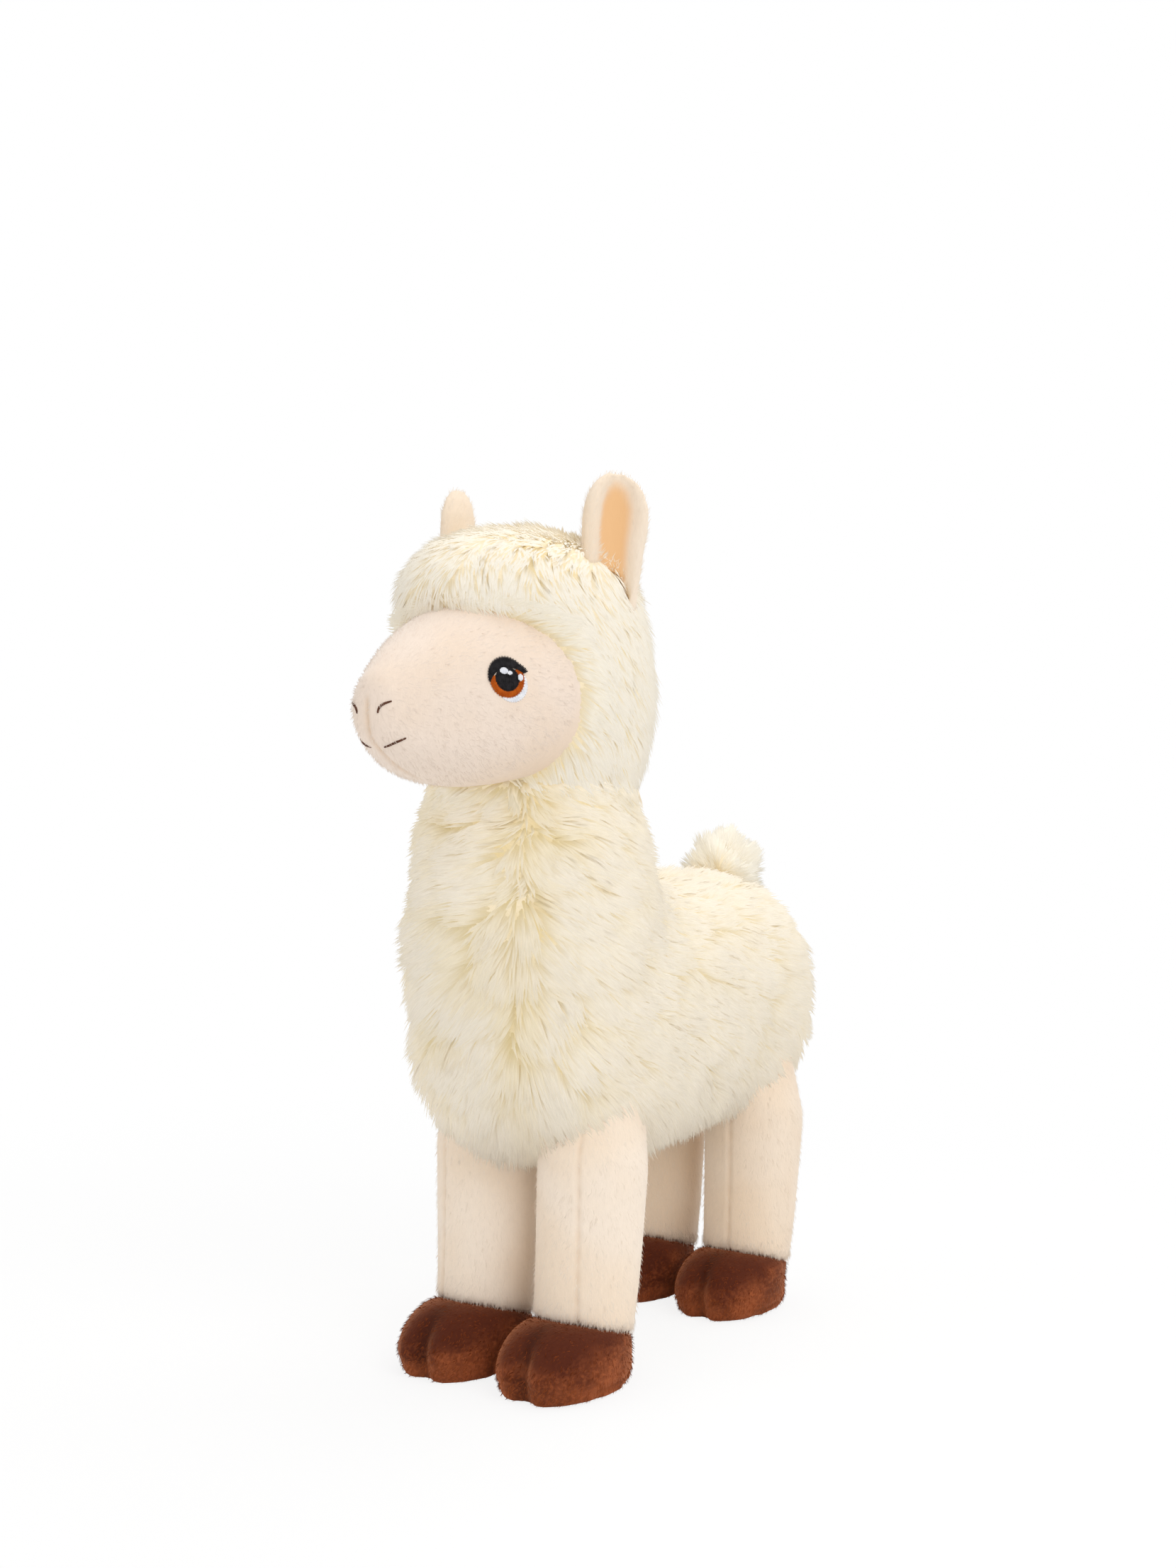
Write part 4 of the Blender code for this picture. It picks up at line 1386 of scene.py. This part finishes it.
@dataclass
class Hoop:
    """A frame for embroidery, laid flat against the face."""

    tree: BVHTree
    origin: Vector
    toward: Vector
    stitch: tuple
    width: float = 0.00050
    height: float = 0.00045

    def __post_init__(self) -> None:
        """Works out the hoop's own right and up."""
        self.right = Vector((0, 0, 1)).cross(self.toward).normalized()
        self.up = self.toward.cross(self.right)
        self.runs: list[tuple] = []

    def lay(self, a: float, b: float, lift: float) -> Vector:
        """The place over the skin at a to the right and b up."""
        start = self.origin + self.right * a + self.up * b + self.toward * 0.03
        place, normal, _, _ = self.tree.ray_cast(start, -self.toward)
        return place + normal * lift

    def sew(
        self, one: Sequence[float], two: Sequence[float], lift: float, width: float = 0
    ) -> None:
        """Adds one stitch between two places of the hoop."""
        half = [(p + q) / 2 for p, q in zip(one, two)]
        path = [self.lay(*spot, lift) for spot in (one, half, two)]
        self.runs.append((*path, width or self.width))

    def finished(self, name: str, yarn: Yarn, *nodes: str) -> None:
        """Makes the stitches sewn so far into one piece.

        Args:
            name: the piece's name.
            yarn: its thread.
            nodes: the CAD nodes that it stands for.
        """
        points, faces = self.stitch
        places, corners = [], []
        for number, (one, half, two, width) in enumerate(self.runs):
            along = (two - one).normalized()
            side = self.toward.cross(along).normalized()
            up = along.cross(side)
            for x, y, z in points:
                t = (x + 1) / 2
                core = one * (1 - t) * (1 - 2 * t) + half * 4 * t * (1 - t) + two * t * (2 * t - 1)
                places.append(core + side * y * width / 2 + up * z * self.height / 2)
            corners += [tuple(k + number * len(points) for k in face) for face in faces]
        mesh = bpy.data.meshes.new(name)
        mesh.from_pydata(places, [], corners)
        mesh.shade_smooth()
        obj = piece_of(name, mesh)
        obj.data.materials.append(yarn.value.finish())
        placed(obj, yarn.value.name, *nodes)
        self.runs = []


def stitch_model() -> tuple:
    """Models one satin stitch, a fat grain along X.

    Returns:
        Its points and its faces.
    """
    bpy.ops.object.select_all(action="DESELECT")
    bpy.ops.mesh.primitive_uv_sphere_add(segments=6, ring_count=6, radius=1)
    obj = bpy.context.active_object
    edit(obj)
    bpy.ops.transform.rotate(value=pi / 2, orient_axis="Y", center_override=(0, 0, 0))
    bpy.ops.mesh.normals_make_consistent(inside=False)
    done()
    points = [tuple(v.co) for v in obj.data.vertices]
    faces = [tuple(p.vertices) for p in obj.data.polygons]
    bpy.data.objects.remove(obj)
    grown = [(np.sign(x) * abs(x) ** 0.6, y, z) for x, y, z in points]
    return grown, faces


@dataclass
class Eye:
    """One embroidered eye: pupil, amber ring, heavy upper lid, white corner and glints."""

    word: str
    side: int
    reach: float = -0.0831
    height: float = 0.2297
    turn: float = 30.0
    pupil: float = 0.0040
    iris: float = 0.0061
    step: float = 0.00036
    ragged: float = 0.00022
    tuck: float = 0.0006
    white_lift: float = 0.0001
    iris_lift: float = 0.00022
    pupil_lift: float = 0.00034
    pupil_row: float = 0.0014
    lid_lift: float = 0.0004
    glint_lift: float = 0.00062

    def build(self, tree: BVHTree, stitch: tuple) -> Vector:
        """Sews the eye.

        Args:
            tree: the face.
            stitch: one stitch's points and faces.

        Returns:
            The eye's middle.
        """
        start = Vector((self.side * 0.1, self.reach, self.height))
        seat, _, _, _ = tree.ray_cast(start, Vector((-self.side, 0, 0)))
        toward = Vector((self.side * cos(radians(self.turn)), -sin(radians(self.turn)), 0))
        hoop = Hoop(tree, seat, toward, stitch)
        self.sew_white(hoop)
        self.sew_iris(hoop)
        self.sew_pupil(hoop)
        self.sew_lid(hoop)
        self.sew_glints(hoop)
        return seat

    def at(self, angle: float, reach: float) -> tuple[float, float]:
        """A place in the eye, with 0 degrees to the rear and 90 up."""
        return (self.side * reach * cos(radians(angle)), reach * sin(radians(angle)))

    def fan(
        self, hoop: Hoop, start: float, end: float, inner: Any, outer: Any, lift: float
    ) -> None:
        """Stitches side by side across a band.

        Args:
            hoop: where they are sewn.
            start: the first angle.
            end: the last angle.
            inner: the inner edge's reach at an angle.
            outer: the outer edge's reach at an angle.
            lift: how high they lie.
        """
        middle = (inner((start + end) / 2) + outer((start + end) / 2)) / 2
        count = int(abs(radians(end - start)) * middle / self.step)
        for k in range(count + 1):
            angle = start + (end - start) * k / count
            ragged = self.ragged * (k % 2)
            one = self.at(angle, inner(angle))
            two = self.at(angle, outer(angle) - ragged)
            hoop.sew(one, two, lift)

    def sew_white(self, hoop: Hoop) -> None:
        """The white corner below and behind the iris."""
        start, end = 8, -104

        def outer(angle: float) -> float:
            """The white's outer edge, widest half way along."""
            bulge = max(0.0, sin(radians((angle - end) * 180 / (start - end))))
            return self.iris + 0.0003 + 0.0016 * bulge

        self.fan(hoop, start, end, lambda a: self.iris - self.tuck, outer, self.white_lift)
        hoop.finished("eye_white_thread_" + self.word, Yarn.WHITE, "eye_white_" + self.word)

    def sew_iris(self, hoop: Hoop) -> None:
        """The amber ring."""
        inner, outer = lambda a: self.pupil - self.tuck, lambda a: self.iris
        self.fan(hoop, -190, 40, inner, outer, self.iris_lift)
        hoop.finished("iris_thread_" + self.word, Yarn.AMBER, "iris_" + self.word)

    def sew_pupil(self, hoop: Hoop) -> None:
        """The pupil, in short upright rows."""
        rows_count = int(2 * self.pupil / self.step)
        for k in range(rows_count):
            a = -self.pupil + (k + 0.5) * 2 * self.pupil / rows_count
            half = (self.pupil**2 - a**2) ** 0.5
            parts = max(1, round(half / self.pupil_row))
            shift = 0.3 * (k % 2)
            for p in range(parts):
                low = -half + 2 * half * max(0.0, (p - shift) / parts)
                top = -half + 2 * half * min(1.0, (p + 1.25 - shift) / parts)
                hoop.sew((a, low), (a, top), self.pupil_lift)
        hoop.finished("pupil_thread_" + self.word, Yarn.BLACK, "pupil_" + self.word)

    def sew_lid(self, hoop: Hoop) -> None:
        """The heavy black lid over the top of the iris, ending in two corners."""
        def outer(angle: float) -> float:
            """The lid's outer edge."""
            rise = max(0.0, sin(radians((angle - 18) * 180 / 170)))
            rear = max(0.0, 1 - abs(angle - 22) / 26)
            return 0.0063 + 0.0009 * rise + 0.0014 * rear

        def inner(angle: float) -> float:
            """The lid's lower edge, which meets the pupil."""
            share = min(1.0, abs(angle - 103) / 85)
            return self.pupil - 0.0004 + 0.0021 * share**3

        self.fan(hoop, 20, 188, inner, outer, self.lid_lift)
        hoop.finished("eyelid_thread_" + self.word, Yarn.BLACK, "eyelid_" + self.word)

    def sew_glints(self, hoop: Hoop) -> None:
        """Two white glints on the dark, the first of two spots."""
        first = ((-0.0011, 0.0024, 0.0013, 0.0011), (0.0008, 0.0018, 0.0008, 0.0007))
        second = ((0.0043, 0.0005, 0.0008, 0.0012),)
        for number, spots in ((1, first), (2, second)):
            for a, b, wide, tall in spots:
                count = max(2, int(2 * wide / self.step))
                for k in range(count):
                    off = -wide + (k + 0.5) * 2 * wide / count
                    half = tall * (1 - (off / wide) ** 2) ** 0.5
                    x = self.side * (a + off)
                    hoop.sew((x, b - half), (x, b + half), self.glint_lift)
            name = f"{self.word}_{number}"
            hoop.finished("eye_glint_thread_" + name, Yarn.WHITE, "eye_glint_" + name)


@dataclass
class Muzzle:
    """The nostrils and the mouth, each a line of thread laid where the photograph shows it."""

    nostril: tuple = ((553, 989), (546, 991), (539, 994), (534, 999), (533, 1006))
    mouth: tuple = ((542, 1054), (550, 1051), (558, 1047), (566, 1044), (573, 1041))
    step: float = 0.00042
    overlap: float = 2.4
    width: float = 0.00075
    lift: float = 0.00012

    def build(self, face: bpy.types.Object, camera: Camera, stitch: tuple) -> None:
        """Sews both halves of each line.

        Args:
            face: the face.
            camera: where the photograph was taken from.
            stitch: one stitch's points and faces.
        """
        tree = surface_tree(face)
        for word, side in (("left", 1), ("right", -1)):
            for name, path in (("nostril", self.nostril), ("mouth", self.mouth)):
                hoop = Hoop(tree, Vector((0, 0, 0)), Vector((0, -1, 0)), stitch, height=0.0006)
                spots = [tree.ray_cast(camera.place, camera.ray(*pixel))[0] for pixel in path]
                flat = [(side * spot.x, spot.z) for spot in spots]
                hoop.origin = Vector((0, -0.13, 0))
                self.rope(hoop, flat)
                hoop.finished(f"{name}_thread_{word}", Yarn.BROWN, f"{name}_{word}")

    def rope(self, hoop: Hoop, path: Sequence[tuple[float, float]]) -> None:
        """Short slanted stitches along a path.

        Args:
            hoop: where they are sewn.
            path: the path's places.
        """
        line = np.array(path)
        span = np.concatenate([[0], np.cumsum(np.linalg.norm(np.diff(line, axis=0), axis=1))])
        count = max(6, int(span[-1] / self.step))
        for k in range(count):
            at = span[-1] * k / count
            to = min(span[-1], at + span[-1] / count * self.overlap)
            one = [np.interp(at, span, line[:, i]) for i in (0, 1)]
            two = [np.interp(to, span, line[:, i]) for i in (0, 1)]
            wide = self.width * (0.7 + 0.5 * sin(pi * (k + 0.5) / count))
            hoop.sew(one, two, self.lift, wide)


@dataclass
class Studio:
    """The pale floor, the soft lamps and the world."""

    floor: float = 3.0
    floor_drop: float = 0.0002
    world: float = 0.60
    aim_height: float = 0.16

    def build(self) -> None:
        """Sets up floor, lamps and world."""
        scene = bpy.context.scene
        scene.view_settings.view_transform = "Standard"
        self.build_floor()
        self.build_world(scene)
        self.lamp("key", (1.05, -0.45, 1.10), size=0.9, power=8.2)
        self.lamp("top", (0.10, 0.35, 1.35), size=0.9, power=6.2)
        self.lamp("fill", (-0.95, -0.95, 0.55), size=1.0, power=3.4)

    def build_floor(self) -> None:
        """A plain floor that shows white and keeps the shadow."""
        bpy.ops.object.select_all(action="DESELECT")
        bpy.ops.mesh.primitive_plane_add(size=self.floor * 2, location=(0, 0, -self.floor_drop))
        floor = bpy.context.active_object
        floor.name = "floor"
        paint = Paint("floor")
        seen = paint.node("ShaderNodeLightPath", {}, {}, "Is Camera Ray")
        cloth = paint.node("ShaderNodeBsdfDiffuse", {}, {"Color": tone(0.92, 0.92, 0.92)})
        white = paint.node("ShaderNodeEmission", {}, {"Strength": 1.0})
        far = paint.node("ShaderNodeVectorMath", {"operation": "LENGTH"}, {0: paint.place()}, 1)
        share = seen * (0.84 + far.eased(0.25, 0.55) * 0.16)
        mixed = paint.node("ShaderNodeMixShader", {}, {0: share, 1: cloth, 2: white})
        paint.node("ShaderNodeOutputMaterial", {}, {"Surface": mixed})
        floor.data.materials.append(paint.owner)
        floor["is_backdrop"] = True

    def build_world(self, scene: bpy.types.Scene) -> None:
        """Even light, seen as white."""
        paint = Paint("studio", world=True)
        scene.world = paint.owner
        rays = ("Is Camera Ray", "Is Glossy Ray", "Is Transmission Ray")
        camera, gloss, clear = (paint.node("ShaderNodeLightPath", {}, {}, ray) for ray in rays)
        seen = camera.maths("MAXIMUM", camera, gloss)
        shown = seen.maths("MAXIMUM", seen, clear)
        values = {"Value": shown, "To Min": self.world, "To Max": 1.0}
        level = paint.node("ShaderNodeMapRange", {}, values)
        values = {"Color": tone(1.0, 1.0, 1.0), "Strength": level}
        light = paint.node("ShaderNodeBackground", {}, values)
        paint.node("ShaderNodeOutputWorld", {}, {"Surface": light})

    def lamp(self, name: str, place: Sequence[float], size: float, power: float) -> None:
        """One soft square lamp that looks at the toy's middle.

        Args:
            name: the lamp's name.
            place: where it stands.
            size: its side.
            power: its power in watts.
        """
        bpy.ops.object.select_all(action="DESELECT")
        aim = (Vector((0, 0, self.aim_height)) - Vector(place)).to_track_quat("-Z", "Y").to_euler()
        bpy.ops.object.light_add(type="AREA", location=place, rotation=aim)
        lamp = bpy.context.active_object
        lamp.name = name
        lamp.data.size = size
        lamp.data.energy = power


def main() -> None:
    """Builds the toy piece by piece."""
    logging.basicConfig(level=logging.INFO, format="%(name)s %(message)s")
    camera = Camera()
    camera.build()
    Studio().build()
    head = Face()
    face = head.build()
    hidden = Ears().build()
    hoof = HoofPile()
    # The hind legs' plush is a little darker and warmer than the front legs': painted shade that
    # falls on the hind legs
    hind = ShortPile("hind_shaded_pile", tone(0.85, 0.72, 0.585), tone(0.83, 0.67, 0.51))
    feet = {"hoof": hoof.cloth(), "hoof_fuzz": hoof.fuzz()}
    for front, place, leg in ((True, "front", ShortPile()), (False, "hind", hind)):
        finishes = feet | {"leg": leg.cloth(), "leg_fuzz": leg.fuzz()}
        for side, word in ((1, "left"), (-1, "right")):
            limb = Limb(f"{place}_{word}", side, front, finishes)
            hidden += limb.build()
    stitch = stitch_model()
    tree = surface_tree(face)
    eyes = [Eye(word, side).build(tree, stitch) for side, word in ((1, "left"), (-1, "right"))]
    Muzzle().build(face, camera, stitch)
    body = Body()
    head.dress(face, body.opening, eyes)
    body.build(face, hidden)
    Tail().build()
    sizes = [[list(corner) for corner in box] for box in (CAD_BOX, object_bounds())]


if __name__ == "__main__":
    main()
